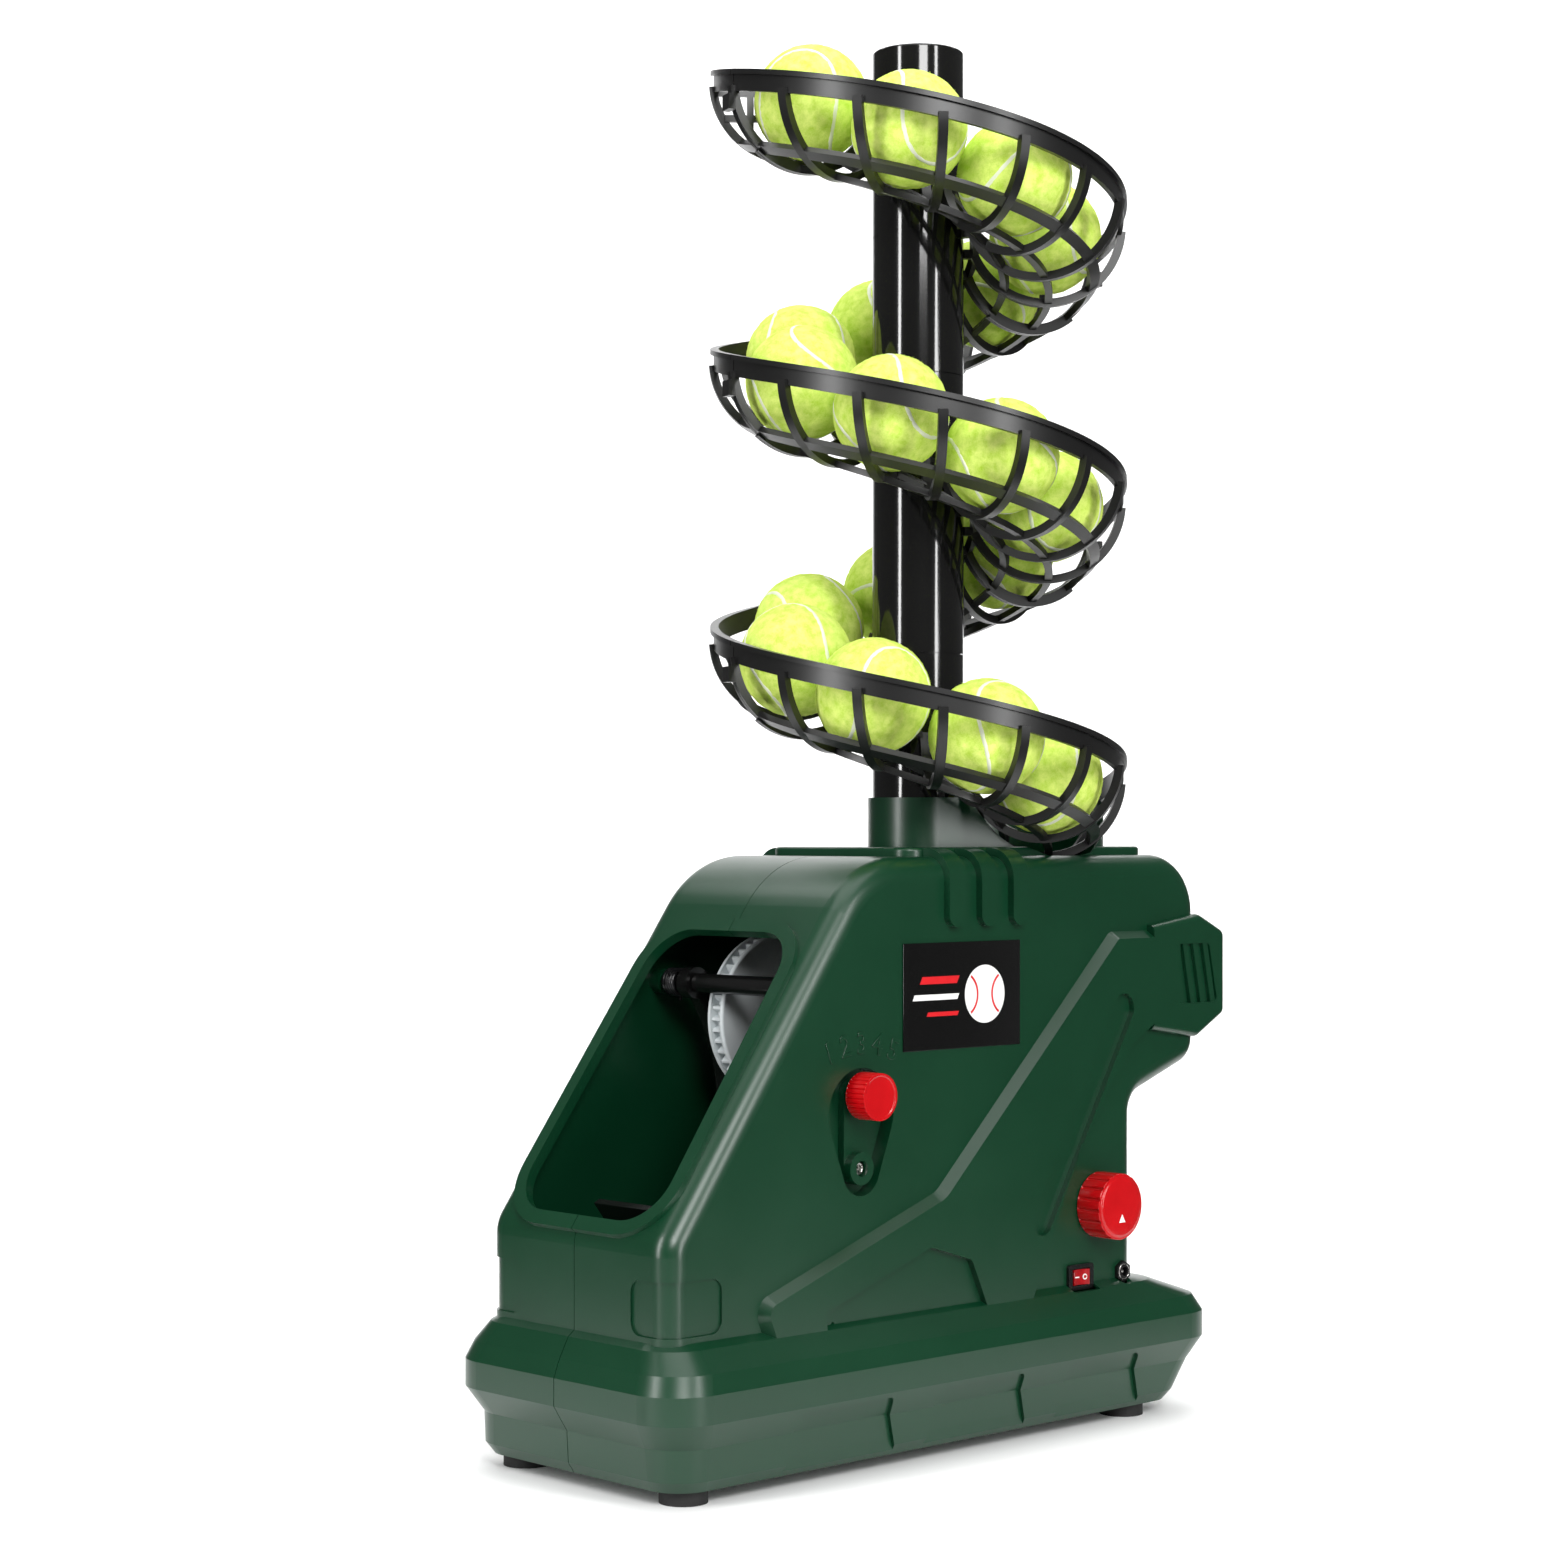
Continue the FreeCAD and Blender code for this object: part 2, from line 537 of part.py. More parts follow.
screws = []
for n, (y, z) in enumerate(SCREWS, start=1):
    side = "dims.body_width / 2" if z > d["waist_z"] else "(dims.bumper_width / 2 - 8.5)"
    screws.append(bound("Part::Cylinder", f"screw_shank_{n}", ALONG_X, (f"-{side} + 5.9", str(y), str(z)),
                        Radius=str(SCREW_RADIUS), Height=f"2 * {side} - 20"))
    screws.append(bound("Part::Cylinder", f"screw_head_{n}", ALONG_X, (f"-{side} + 3.2", str(y), str(z)),
                        Radius=str(HEAD_RADIUS), Height="2.8"))
keep(joined("fuse", "shell_screws", screws), "shell_screws")

# battery bay behind the rear wall, with a drop-down door
hinge_radius = d["wall"] / 2
door = door_box(0, d["recess_y"] - d["wall"], d["recess_y"])
door = door.cut(block(-half_body, half_body, 0, 2 * d["recess_y"], 0, d["door_z"] + hinge_radius))
feature("battery_door", door.fuse(rod(d["recess_y"] - hinge_radius, d["door_z"] + hinge_radius, hinge_radius,
                                      -d["door_width"] / 2, d["door_width"] / 2)))
keep(bound("Part::Box", "battery_pack",
           at=("-dims.door_width / 2 + 5", "(dims.recess_y - 46)", "dims.door_z + 4"),
           Length="dims.door_width - 10", Width="40", Height="dims.door_height - 10"), "battery_pack")

# ------------------------------------------------------------------ launch mechanism
inner_half = "(dims.body_width / 2 - dims.wall)"
keep(bound("Part::Cylinder", "arm_shaft", ALONG_X, (f"-{inner_half}", "dims.shaft_y", "dims.shaft_z"),
           Radius="dims.shaft_radius", Height=f"2 * {inner_half}"), "arm_shaft")
keep(bound("Part::Cylinder", "gear_axle", ALONG_X, (f"-{inner_half}", "dims.gear_y", "dims.gear_z"),
           Radius="dims.axle_radius", Height=f"2 * {inner_half}"), "gear_axle")


def sleeve(name, radius, bore, x0, length, y, z):
    """Round sleeve along X on a shaft."""
    outside = bound("Part::Cylinder", name + "_outside", ALONG_X, (x0, y, z), Radius=radius, Height=length)
    inside = bound("Part::Cylinder", name + "_bore", ALONG_X, (x0 + " - 1", y, z), Radius=bore,
                   Height=length + " + 2")
    return joined("cut", name, [outside, inside])


arm_side = "(dims.arm_x + dims.arm_width / 2 + 1)"
keep(sleeve("bar_sleeve", "dims.bar_radius", "dims.shaft_radius", arm_side,
            f"(dims.body_width / 2 - dims.wall - dims.socket_depth - 0.5 - {arm_side})",
            "dims.shaft_y", "dims.shaft_z"), "bar_sleeve")
# torsion spring wound on the shaft beside the arm
coils = [Part.makeTorus(7.0, 1.2, V(x, d["shaft_y"] + d["mast_y"], d["shaft_z"]), X_AXIS)
         for x in (-60.5, -57.9, -55.3, -52.7, -50.1)]
feature("torsion_spring", coils[0].fuse(coils[1:]))


def launch_arm():
    """Curved arm hung from the shaft, with the strike plate across its lower end."""
    y, z, reach = d["shaft_y"], d["shaft_z"], d["arm_reach"]
    x0, x1 = d["arm_x"] - d["arm_width"] / 2, d["arm_x"] + d["arm_width"] / 2
    outline = Part.Wire([
        Part.Arc(side_plane(x0)(y - 6, z), side_plane(x0)(y + 22, z - reach / 2),
                 side_plane(x0)(y + 2, z - reach)).toShape(),
        Part.makeLine(side_plane(x0)(y + 2, z - reach), side_plane(x0)(y + 12, z - reach)),
        Part.Arc(side_plane(x0)(y + 12, z - reach), side_plane(x0)(y + 34, z - reach / 2),
                 side_plane(x0)(y + 6, z)).toShape(),
        Part.makeLine(side_plane(x0)(y + 6, z), side_plane(x0)(y - 6, z))])
    arm = prism(outline, V(x1 - x0, 0, 0)).fuse(rod(y, z, 9.0, x0, x1))
    plate = block(x0, -x0, y + 5, y + 12, z - reach, z - reach + d["strike_height"])
    return arm.fuse(plate).cut(rod(y, z, d["shaft_radius"] + d["running_gap"], x0 - 1, x1 + 1))


feature("launch_arm", launch_arm())


def gear_outline(teeth, lash, x):
    """Involute gear outline; lash narrows each tooth."""
    module = d["gear_module"]
    pitch_r, tip_r, root_r = module * teeth / 2, module * (teeth / 2 + 0.95), module * (teeth / 2 - 1.25)
    base_r = pitch_r * math.cos(math.radians(20))
    involute = math.tan(math.radians(20)) - math.radians(20)
    half_tooth = math.pi / (2 * teeth) - lash / (2 * pitch_r)
    flank = []
    for radius in (base_r, (base_r + pitch_r) / 2, pitch_r, (pitch_r + tip_r) / 2, tip_r):
        roll = math.acos(min(1.0, base_r / max(radius, base_r)))
        flank.append((max(radius, root_r), half_tooth + involute - (math.tan(roll) - roll)))
    flank = [(root_r, flank[0][1])] + flank
    points = []
    for n in range(teeth):
        middle = 2 * math.pi * n / teeth
        points += [(r, middle - a) for r, a in flank] + [(r, middle + a) for r, a in reversed(flank)]
    return [V(x, r * math.cos(a), r * math.sin(a)) for r, a in points]


def gear(teeth, lash, x0, width, y, z, turn, bore):
    corners = gear_outline(teeth, lash, x0)
    shape = prism(Part.makePolygon(corners + corners[:1]), V(width, 0, 0))
    shape.rotate(V(0, 0, 0), X_AXIS, turn)
    shape.translate(V(0, y + d["mast_y"], z))
    return shape.cut(rod(y, z, bore, x0 - 1, x0 + width + 1))


big_teeth, small_teeth = int(d["gear_teeth"]), int(d["pinion_teeth"])
centre_gap = d["gear_module"] * (big_teeth + small_teeth) / 2
PINION_DIRECTION = -20.0                           # degrees from +Y, seen from +X
pinion_y = d["gear_y"] + centre_gap * math.cos(math.radians(PINION_DIRECTION))
pinion_z = d["gear_z"] + centre_gap * math.sin(math.radians(PINION_DIRECTION))
gear_x0 = d["gear_x"] - d["gear_width"] / 2
cheek_r = d["gear_module"] * big_teeth / 2 + d["cheek_lap"]


def cam_gear():
    """Moulded nylon gear between two thin cheeks, with a dished web and a hub."""
    turn = PINION_DIRECTION - 180.0 / big_teeth
    disc = gear(big_teeth, 0.25, gear_x0, d["gear_width"], d["gear_y"], d["gear_z"], turn,
                d["axle_radius"] + d["running_gap"])
    dish = rod(d["gear_y"], d["gear_z"], 37, gear_x0 - 5, gear_x0 + 2).cut(
        rod(d["gear_y"], d["gear_z"], 10, gear_x0 - 6, gear_x0 + 4))
    cheek = d["cheek_width"]
    bore = rod(d["gear_y"], d["gear_z"], d["axle_radius"] + d["running_gap"], gear_x0 - 9, gear_x0 + 19)
    near, far = [rod(d["gear_y"], d["gear_z"], cheek_r, x, x + cheek).cut(bore)
                 for x in (gear_x0 + d["gear_width"], gear_x0 - cheek)]
    shape = disc.fuse(far).cut(dish).fuse(near)
    crown = [e for e in shape.Edges if abs(e.CenterOfMass.x - gear_x0 - d["gear_width"] - cheek) < 0.01
             and e.Length > 6 * cheek_r]
    return shape.makeFillet(1.5, crown)


feature("cam_gear", cam_gear())
feature("motor_pinion", gear(small_teeth, 0.25, gear_x0 + 0.5, d["gear_width"] - 1, pinion_y, pinion_z,
                             PINION_DIRECTION + 180.0, d["motor_shaft"] + d["running_gap"]))
motor_x = gear_x0 + d["gear_width"] + d["cheek_width"] + 4
motor_can = rod(pinion_y, pinion_z, d["motor_radius"], motor_x, motor_x + d["motor_length"])
motor_boss = rod(pinion_y, pinion_z, 6, motor_x - 1.5, motor_x + 1)
motor_shaft = rod(pinion_y, pinion_z, d["motor_shaft"], gear_x0, motor_x + 2)
feature("gear_motor", motor_can.fuse([motor_boss, motor_shaft]))


def ball_chute():
    """Trough that carries a ball from under the throat to the drop in front of the arm."""
    radius, wall = d["chute_radius"], d["chute_wall"]
    x, y0, y1, centre_z = d["throat_x"], -58.0, d["cup_y"] + 36, d["hopper_floor_z"] - 16
    start = V(x, y1 + d["mast_y"], centre_z)
    run = V(0, y0 - y1, -9)
    tube = Part.makeCylinder(radius + wall, run.Length, start, run)
    tube = tube.cut(Part.makeCylinder(radius, run.Length + 5, start + run * 0.02, run))
    room = Part.makeBox(200, 400, 100, V(x - 100, -200 + d["mast_y"], centre_z - 4))
    gear_end = gear_x0 + d["gear_width"] + d["cheek_width"]
    gear_room = rod(d["gear_y"], d["gear_z"], cheek_r + 2, -half_body, gear_end + 2)
    return tube.cut([room, gear_room])


feature("ball_chute", ball_chute())


def launch_ramp():
    """Cradle where the ball waits, rising to the window's sill."""
    x = 40.0
    ramp = side_prism([(-128, 118, 0), (-150, 114, 12), (-196, 126, 12), (-212, 146, 0), (-216, 144, 0),
                       (-199, 122, 14), (-150, 110, 14), (-127, 114, 0)], -x, x)
    legs = [block(sx * 34 - 3, sx * 34 + 3, -178, -140, 11.5, 118) for sx in (-1, 1)]
    pad = side_prism([(-128, 118, 0), (-150, 114, 0), (-196, 126, 0), (-214, 146, 0), (-214, 300, 0),
                      (-128, 300, 0)], -x - 5, x + 5)
    return ramp.fuse([leg.cut(pad) for leg in legs])


feature("launch_ramp", launch_ramp())

# ------------------------------------------------------------------ controls on +X
pan_face = half_body - d["lever_pan_depth"]


def angle_lever():
    """Lever plate with its pivot boss; the shaft passes into the housing and carries the arm's stop."""
    y, z, reach = d["lever_y"], d["lever_z"], d["lever_reach"]
    plate = hull_prism((y, z + reach), 8.9, (y, z), 9.0, pan_face + 0.4, pan_face + 4.4)
    boss = rod(y, z, 9.0, pan_face + 0.4, half_body + 0.5)
    shaft = rod(y, z, d["shaft_radius"], half_body - 24, pan_face + 1)
    stop = hull_prism((y, z), 8, (y, z - 18), 4, half_body - 24, half_body - 17)
    return plate.fuse([boss, shaft, stop]).cut([rod(y, z, 4.4, half_body - 4, half_body + 2),
                                                rod(y, z + reach, 3.5, pan_face - 2, pan_face + 8)])


feature("angle_lever", angle_lever())
knob_z = "(dims.lever_z + dims.lever_reach)"
keep(sleeve("angle_knob", "dims.lever_knob_radius", "(2 + dims.running_gap)",
            "(dims.body_width / 2 + 0.8)", "14", "dims.lever_y", knob_z), "angle_knob")
pin_x = "dims.body_width / 2 - dims.lever_pan_depth + 0.8"
keep(bound("Part::Cylinder", "knob_pin", ALONG_X, (pin_x, "dims.lever_y", knob_z),
           Radius="2.0", Height="22"), "knob_pin")

# interval dial on its potentiometer
dial = bound("Part::Cylinder", "dial_grip", ALONG_X,
             ("dims.body_width / 2 + 0.6", "dims.dial_y", "dims.dial_z"),
             Radius="dims.dial_radius", Height="dims.dial_height")
stem = bound("Part::Cylinder", "dial_stem", ALONG_X,
             ("dims.body_width / 2 - 8", "dims.dial_y", "dims.dial_z"), Radius="3", Height="10")
keep(joined("fuse", "interval_dial", [dial, stem]), "interval_dial")
keep(sleeve("potentiometer", "8.5", "(3 + dims.running_gap)", "(dims.body_width / 2 - dims.wall - 12)",
            "11.8", "dims.dial_y", "dims.dial_z"), "potentiometer")

# rocker switch in its bezel
bezel = side_prism([(d["switch_y"] + dy, d["switch_z"] + dz, 2)
                    for dy, dz in ((-11, -7.5), (-11, 7.5), (11, 7.5), (11, -7.5))],
                   half_body + 0.05, half_body + 2)
can = block(half_body - 16, half_body + 1, d["switch_y"] - 9.4, d["switch_y"] + 9.4,
            d["switch_z"] - 6.1, d["switch_z"] + 6.1)
well = block(half_body - 12, half_body + 5, d["switch_y"] - 7.6, d["switch_y"] + 7.6,
             d["switch_z"] - 4.9, d["switch_z"] + 4.9)
feature("switch_bezel", bezel.fuse(can).cut(well))
ROCKER_TILT, foot, crown, half_long = 7.0, half_body - 5, half_body + 3.4, 6.1
rocker = Part.Wire([
    Part.makeLine(V(foot, -half_long, 0), V(crown, -half_long, 0)),
    Part.Arc(V(crown, -half_long, 0), V(crown - 1.6, 0, 0), V(crown, half_long, 0)).toShape(),
    Part.makeLine(V(crown, half_long, 0), V(foot, half_long, 0)),
    Part.makeLine(V(foot, half_long, 0), V(foot, -half_long, 0))])
rocker = prism(rocker, V(0, 0, 9.0)).fuse(Part.makeCylinder(1.5, 9.0, V(foot, 0, 0)))
rocker.rotate(V(foot, 0, 0), Z_AXIS, -ROCKER_TILT)
rocker.translate(V(0, d["switch_y"] + d["mast_y"], d["switch_z"] - 4.5))
feature("power_rocker", rocker)

# supply inlet: threaded barrel, hexagon nut and socket
keep(sleeve("jack_barrel", "3.9", "2.7", "(dims.body_width / 2 - 14)", "17", "dims.jack_y", "dims.jack_z"),
     "jack_barrel")
nut = bound("Part::Prism", "nut_outside", ALONG_X,
            ("dims.body_width / 2 + 0.05", "dims.jack_y", "dims.jack_z"), Circumradius="6.4", Height="2.4")
nut.Polygon = 6
nut_bore = bound("Part::Cylinder", "nut_bore", ALONG_X,
                 ("dims.body_width / 2 - 1", "dims.jack_y", "dims.jack_z"), Radius="3.9", Height="6")
keep(joined("cut", "jack_nut", [nut, nut_bore]), "jack_nut")
keep(bound("Part::Box", "label_plate",
           at=("dims.body_width / 2 + 0.02", "(dims.label_y - dims.label_width / 2)",
               "dims.label_z - dims.label_height / 2"),
           Length="0.8", Width="dims.label_width", Height="dims.label_height"), "label_plate")
keep(bound("Part::Box", "control_board",
           at=("dims.body_width / 2 - dims.wall - 18", "(dims.dial_y - 28)", "dims.dial_z - 16"),
           Length="1.6", Width="56", Height="70"), "control_board")

# ------------------------------------------------------------------ lift-off ball tower
core_outer = d["mast_radius"] - d["sleeve_wall"] - 0.1
core = Part.makeCylinder(core_outer, d["mast_top_z"] - 3.3 - d["socket_floor_z"] - 0.3)
core = core.cut(Part.makeCylinder(core_outer - d["core_wall"], 900))
core.translate(V(0, d["mast_y"], d["socket_floor_z"] + 0.3))
feature("mast_core", core)

SLEEVE_DROP = 5.35                                 # a sleeve's top below its basket's upper rim end
half_drop = d["pitch"] / 2
bottom_z = d["socket_floor_z"] + 0.3
count = int(d["half_turns"])
segments = []
master = basket(BAY, d["bays"])
for k in range(count):
    copy = master.copy()
    copy.rotate(V(0, d["mast_y"], 0), Z_AXIS, 180.0 * k)
    copy.translate(V(0, 0, -half_drop * k))
    top = rim_height(BAY + 180.0 * k) - SLEEVE_DROP
    bottom = bottom_z if k >= count - 2 else top - d["pitch"]
    side = half_sleeve(top - 2 * gap, max(bottom, bottom_z), START + BAY + 90.0 + 180.0 * k)
    feature(f"basket_{k + 1}", copy.fuse(side))

first_top = rim_height(BAY) - SLEEVE_DROP
cap = Part.makeCylinder(d["mast_radius"], d["mast_top_z"] - first_top, V(0, d["mast_y"], first_top))
cap = cap.makeFillet(1.5, [e for e in cap.Edges if e.CenterOfMass.z > d["mast_top_z"] - 0.1])
cap = cap.cut(Part.makeCylinder(d["mast_radius"] - d["sleeve_wall"],
                                d["mast_top_z"] - 3.0 - first_top, V(0, d["mast_y"], first_top)))
upper = half_sleeve(first_top + 1, first_top - half_drop, START + BAY - 90.0)
feature("basket_top", basket(0.0, 1).fuse([cap, upper, end_wall()]))


def clips():
    """Snap clip across each outer joint of the basket."""
    out = []
    for k in range(count):
        size = d["clip_size"]
        clip = Part.makeBox(4.5, size, size, V(d["rim_radius"] - 1.5, -size / 2, -d["clip_drop"] - size))
        clip = clip.cut(ring_sector(rib_inner, rib_outer + 0.05, 0.0, -60.0, 3 * size, -1.5 * size))
        out.append(placed(clip, BAY + 180.0 * k))
    return Part.makeCompound(out)


feature("joint_clips", clips())


def balls(first, count):
    """Hollow balls resting in the basket, the first of them that many degrees down the helix."""
    solid = Part.makeSphere(d["ball_radius"]).cut(Part.makeSphere(d["ball_radius"] - d["ball_wall"]))
    solid.translate(V(basket_r + 0.5, 0, -d["ball_drop"]))
    return Part.makeCompound([placed(solid, first + d["ball_step"] * n) for n in range(count)])


group = int(d["balls_per_turn"])
for number, label in enumerate(("balls_upper", "balls_middle", "balls_lower")):
    feature(label, balls(d["first_ball"] + d["ball_step"] * group * number, group))

# ------------------------------------------------------------------ checks and files
doc.recompute()
for obj in doc.Objects:
    if "Invalid" in obj.State or "Error" in obj.State:
        raise RuntimeError(f"{obj.Name} did not recompute: {obj.State}")
os.makedirs("parts", exist_ok=True)
for obj in nodes:
    if obj.Shape.isNull() or not obj.Shape.isValid():
        raise RuntimeError(f"{obj.Label} has no valid shape")
for obj in nodes:
    obj.Shape.exportStep(f"parts/{obj.Label}.step")
    print(obj.Label, len(obj.Shape.Solids), round(obj.Shape.Volume / 1000, 1), "cm3")
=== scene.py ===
import bpy
import bmesh
import json
import math
import random
from mathutils import Matrix, Vector


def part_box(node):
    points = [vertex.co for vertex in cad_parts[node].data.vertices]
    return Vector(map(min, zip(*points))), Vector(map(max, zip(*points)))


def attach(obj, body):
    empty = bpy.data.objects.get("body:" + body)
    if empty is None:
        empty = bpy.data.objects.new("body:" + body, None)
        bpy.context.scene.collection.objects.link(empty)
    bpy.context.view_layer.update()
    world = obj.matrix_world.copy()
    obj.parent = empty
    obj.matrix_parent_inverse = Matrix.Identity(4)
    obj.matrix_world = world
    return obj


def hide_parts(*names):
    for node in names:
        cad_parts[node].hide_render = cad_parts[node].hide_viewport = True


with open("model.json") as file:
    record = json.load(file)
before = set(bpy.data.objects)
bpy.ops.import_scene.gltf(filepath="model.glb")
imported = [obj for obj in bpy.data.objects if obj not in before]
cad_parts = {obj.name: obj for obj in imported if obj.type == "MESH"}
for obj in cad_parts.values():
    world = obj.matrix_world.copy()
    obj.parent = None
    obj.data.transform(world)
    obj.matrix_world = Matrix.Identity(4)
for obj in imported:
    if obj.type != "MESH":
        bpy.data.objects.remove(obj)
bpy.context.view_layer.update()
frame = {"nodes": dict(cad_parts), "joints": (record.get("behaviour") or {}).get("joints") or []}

# Studio: a camera at head height on the control side of the machine, a pale sweep of floor and
# paper, and soft boxes that draw long highlights down the mast and along the housing's edges.
mast_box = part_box("mast_core")
mast_x = (mast_box[0][0] + mast_box[1][0]) / 2
mast_y = (mast_box[0][1] + mast_box[1][1]) / 2
VIEW_TURN = math.radians(46.7)
VIEW_DISTANCE, VIEW_SIDE, VIEW_HEIGHT = 1.791, 0.0843, 0.350
look = Vector((-math.sin(VIEW_TURN), math.cos(VIEW_TURN), 0))
right = Vector((math.cos(VIEW_TURN), math.sin(VIEW_TURN), 0))
stand = Vector((mast_x, mast_y, VIEW_HEIGHT)) - look * VIEW_DISTANCE - right * VIEW_SIDE
bpy.ops.object.select_all(action="DESELECT")
bpy.ops.object.camera_add(location=stand, rotation=(math.radians(90), 0, VIEW_TURN))
camera = bpy.context.object
camera.name = "studio_camera"
camera.data.lens, camera.data.sensor_width = 70.26, 36.0
camera.data.shift_y = 0.0351
bpy.context.scene.camera = camera
bpy.context.scene.view_settings.view_transform = "Standard"


def srgb(code):
    """sRGB hex to linear RGBA."""
    parts = [int(code[i:i + 2], 16) / 255 for i in (1, 3, 5)]
    return [c / 12.92 if c <= 0.04045 else ((c + 0.055) / 1.055) ** 2.4 for c in parts] + [1.0]


def soft_box(name, place, aim, size, power, tint="#ffffff"):
    turn = (Vector(aim) - Vector(place)).to_track_quat("-Z", "Y").to_euler()
    bpy.ops.object.light_add(type="AREA", location=place, rotation=turn)
    lamp = bpy.context.object
    lamp.name = name
    lamp.data.shape, lamp.data.size, lamp.data.size_y = "RECTANGLE", size[0], size[1]
    lamp.data.energy, lamp.data.color = power, srgb(tint)[:3]


middle = Vector((0, 0, 0.40))
soft_box("left_box", middle - right * 1.3 - look * 1.1 + Vector((0, 0, 0.4)), middle, (0.2, 1.5), 20)
soft_box("right_box", middle + right * 1.2 - look * 1.2 + Vector((0, 0, 0.3)), middle, (0.2, 1.5), 18)
soft_box("top_box", middle + Vector((0, 0, 1.6)) - look * 0.3, middle, (1.6, 1.6), 21)
soft_box("front_box", middle - look * 2.4 + Vector((0, 0, 1.2)) + right * 0.5, middle, (0.9, 0.9), 44)
soft_box("paper_box", middle + look * 0.9 + Vector((0, 0, 1.5)), middle + look * 1.7, (2.6, 0.6), 36)

# Paper sweep: flat under the machine and curving up behind it, cut to a fan a little wider than the
# camera's view, so the housing's sides mirror the dark room and not white floor.
bpy.ops.mesh.primitive_plane_add(size=1, location=(0, 0, 0))
sweep = bpy.context.object
sweep.name = "studio_paper_sweep"
profile = [(-0.8, 0.0), (1.1, 0.0)]
profile += [(1.1 + 0.9 * math.sin(math.radians(a)), 0.9 - 0.9 * math.cos(math.radians(a)))
            for a in range(10, 91, 10)]
profile += [(2.0, 5.0)]
VIEW_SLOPE, SWEEP_MARGIN = 0.2562, 0.10
verts = []
for depth, height in profile:
    half = (VIEW_DISTANCE + depth) * VIEW_SLOPE + SWEEP_MARGIN
    for side in (-1, 1):
        verts.append(tuple(look * depth + right * (side * half - VIEW_SIDE) + Vector((0, 0, height))))
faces = [(2 * i, 2 * i + 1, 2 * i + 3, 2 * i + 2) for i in range(len(profile) - 1)]
sweep.data.clear_geometry()
sweep.data.from_pydata(verts, [], faces)


def add_node(tree, kind, settings=(), **links):
    """One shader node: settings fill its properties or sockets, links feed its inputs."""
    node = tree.nodes.new(kind)
    for key, value in dict(settings).items():
        if isinstance(key, int) or key in node.inputs:
            node.inputs[key].default_value = value
        else:
            setattr(node, key, value)
    for key, source in links.items():
        socket = next(s for s in node.inputs if s.name.replace(" ", "_") == key and not s.is_linked)
        tree.links.new(source, socket)
    return node


def new_material(name):
    material = bpy.data.materials.new(name)
    material.use_nodes = True
    tree = material.node_tree
    tree.nodes.clear()
    shader = add_node(tree, "ShaderNodeBsdfPrincipled")
    output = add_node(tree, "ShaderNodeOutputMaterial", Surface=shader.outputs["BSDF"])
    return material, tree, shader, output


# Studio paper: matt white on its front, where it only carries the machine's soft shadow, and clear
# from its back, so that it never hides the machine.
paper, tree, shader, output = new_material("studio_paper")
shader.inputs["Base Color"].default_value = srgb("#fafafa")
shader.inputs["Roughness"].default_value = 0.9
side = add_node(tree, "ShaderNodeNewGeometry")
clear = add_node(tree, "ShaderNodeBsdfTransparent")
one_sided = add_node(tree, "ShaderNodeMixShader")
for socket, source in enumerate((side.outputs["Backfacing"], shader.outputs["BSDF"], clear.outputs["BSDF"])):
    tree.links.new(source, one_sided.inputs[socket])
tree.links.new(one_sided.outputs[0], output.inputs["Surface"])
sweep.data.materials.append(paper)
for face in sweep.data.polygons:
    face.use_smooth = True

# The room: dim where the machine mirrors it, white where it is seen past the paper's edges.
world = bpy.data.worlds.new("studio_air")
bpy.context.scene.world = world
world.use_nodes = True
background = world.node_tree.nodes["Background"]
background.inputs["Color"].default_value = (1, 1, 1, 1)
ROOM_GLOW = 0.12
seen = add_node(world.node_tree, "ShaderNodeLightPath")
glow = add_node(world.node_tree, "ShaderNodeMath",
                {"operation": "MULTIPLY_ADD", 1: 1 - ROOM_GLOW, 2: ROOM_GLOW},
                Value=seen.outputs["Is Camera Ray"])
world.node_tree.links.new(glow.outputs["Value"], background.inputs["Strength"])


def grain_bump(tree, shader, size_mm, depth_mm, strength=0.5, detail=2.0):
    """Moulded surface grain of a real size, in object space."""
    place = add_node(tree, "ShaderNodeTexCoord")
    grain = add_node(tree, "ShaderNodeTexNoise", {"Scale": 1000.0 / size_mm, "Detail": detail},
                     Vector=place.outputs["Object"])
    bump = add_node(tree, "ShaderNodeBump", {"Strength": strength, "Distance": depth_mm / 1000.0},
                    Height=grain.outputs["Fac"])
    tree.links.new(bump.outputs["Normal"], shader.inputs["Normal"])
    return place, grain


def moulded(name, light, dark, rough, grain_mm, depth_mm, cloud_mm, strength=0.5, coat=0.0):
    """Injection-moulded plastic: fine grain, and a slow drift of colour and polish."""
    material, tree, shader, output = new_material(name)
    place, grain = grain_bump(tree, shader, grain_mm, depth_mm, strength)
    cloud = add_node(tree, "ShaderNodeTexNoise", {"Scale": 1000.0 / cloud_mm, "Detail": 3.0},
                     Vector=place.outputs["Object"])
    colour = add_node(tree, "ShaderNodeMix", {"data_type": "RGBA"})
    colour.inputs[6].default_value, colour.inputs[7].default_value = srgb(dark), srgb(light)
    tree.links.new(cloud.outputs["Fac"], colour.inputs[0])
    tree.links.new(colour.outputs[2], shader.inputs["Base Color"])
    polish = add_node(tree, "ShaderNodeMapRange", {"To Min": rough - 0.05, "To Max": rough + 0.06},
                      Value=cloud.outputs["Fac"])
    tree.links.new(polish.outputs["Result"], shader.inputs["Roughness"])
    shader.inputs["IOR"].default_value = 1.53
    shader.inputs["Coat Weight"].default_value = coat
    shader.inputs["Coat Roughness"].default_value = 0.12
    return material


def dress(node, material):
    """Give a CAD node one material."""
    obj = frame["nodes"][node]
    obj.data.materials.clear()
    obj.data.materials.append(material)


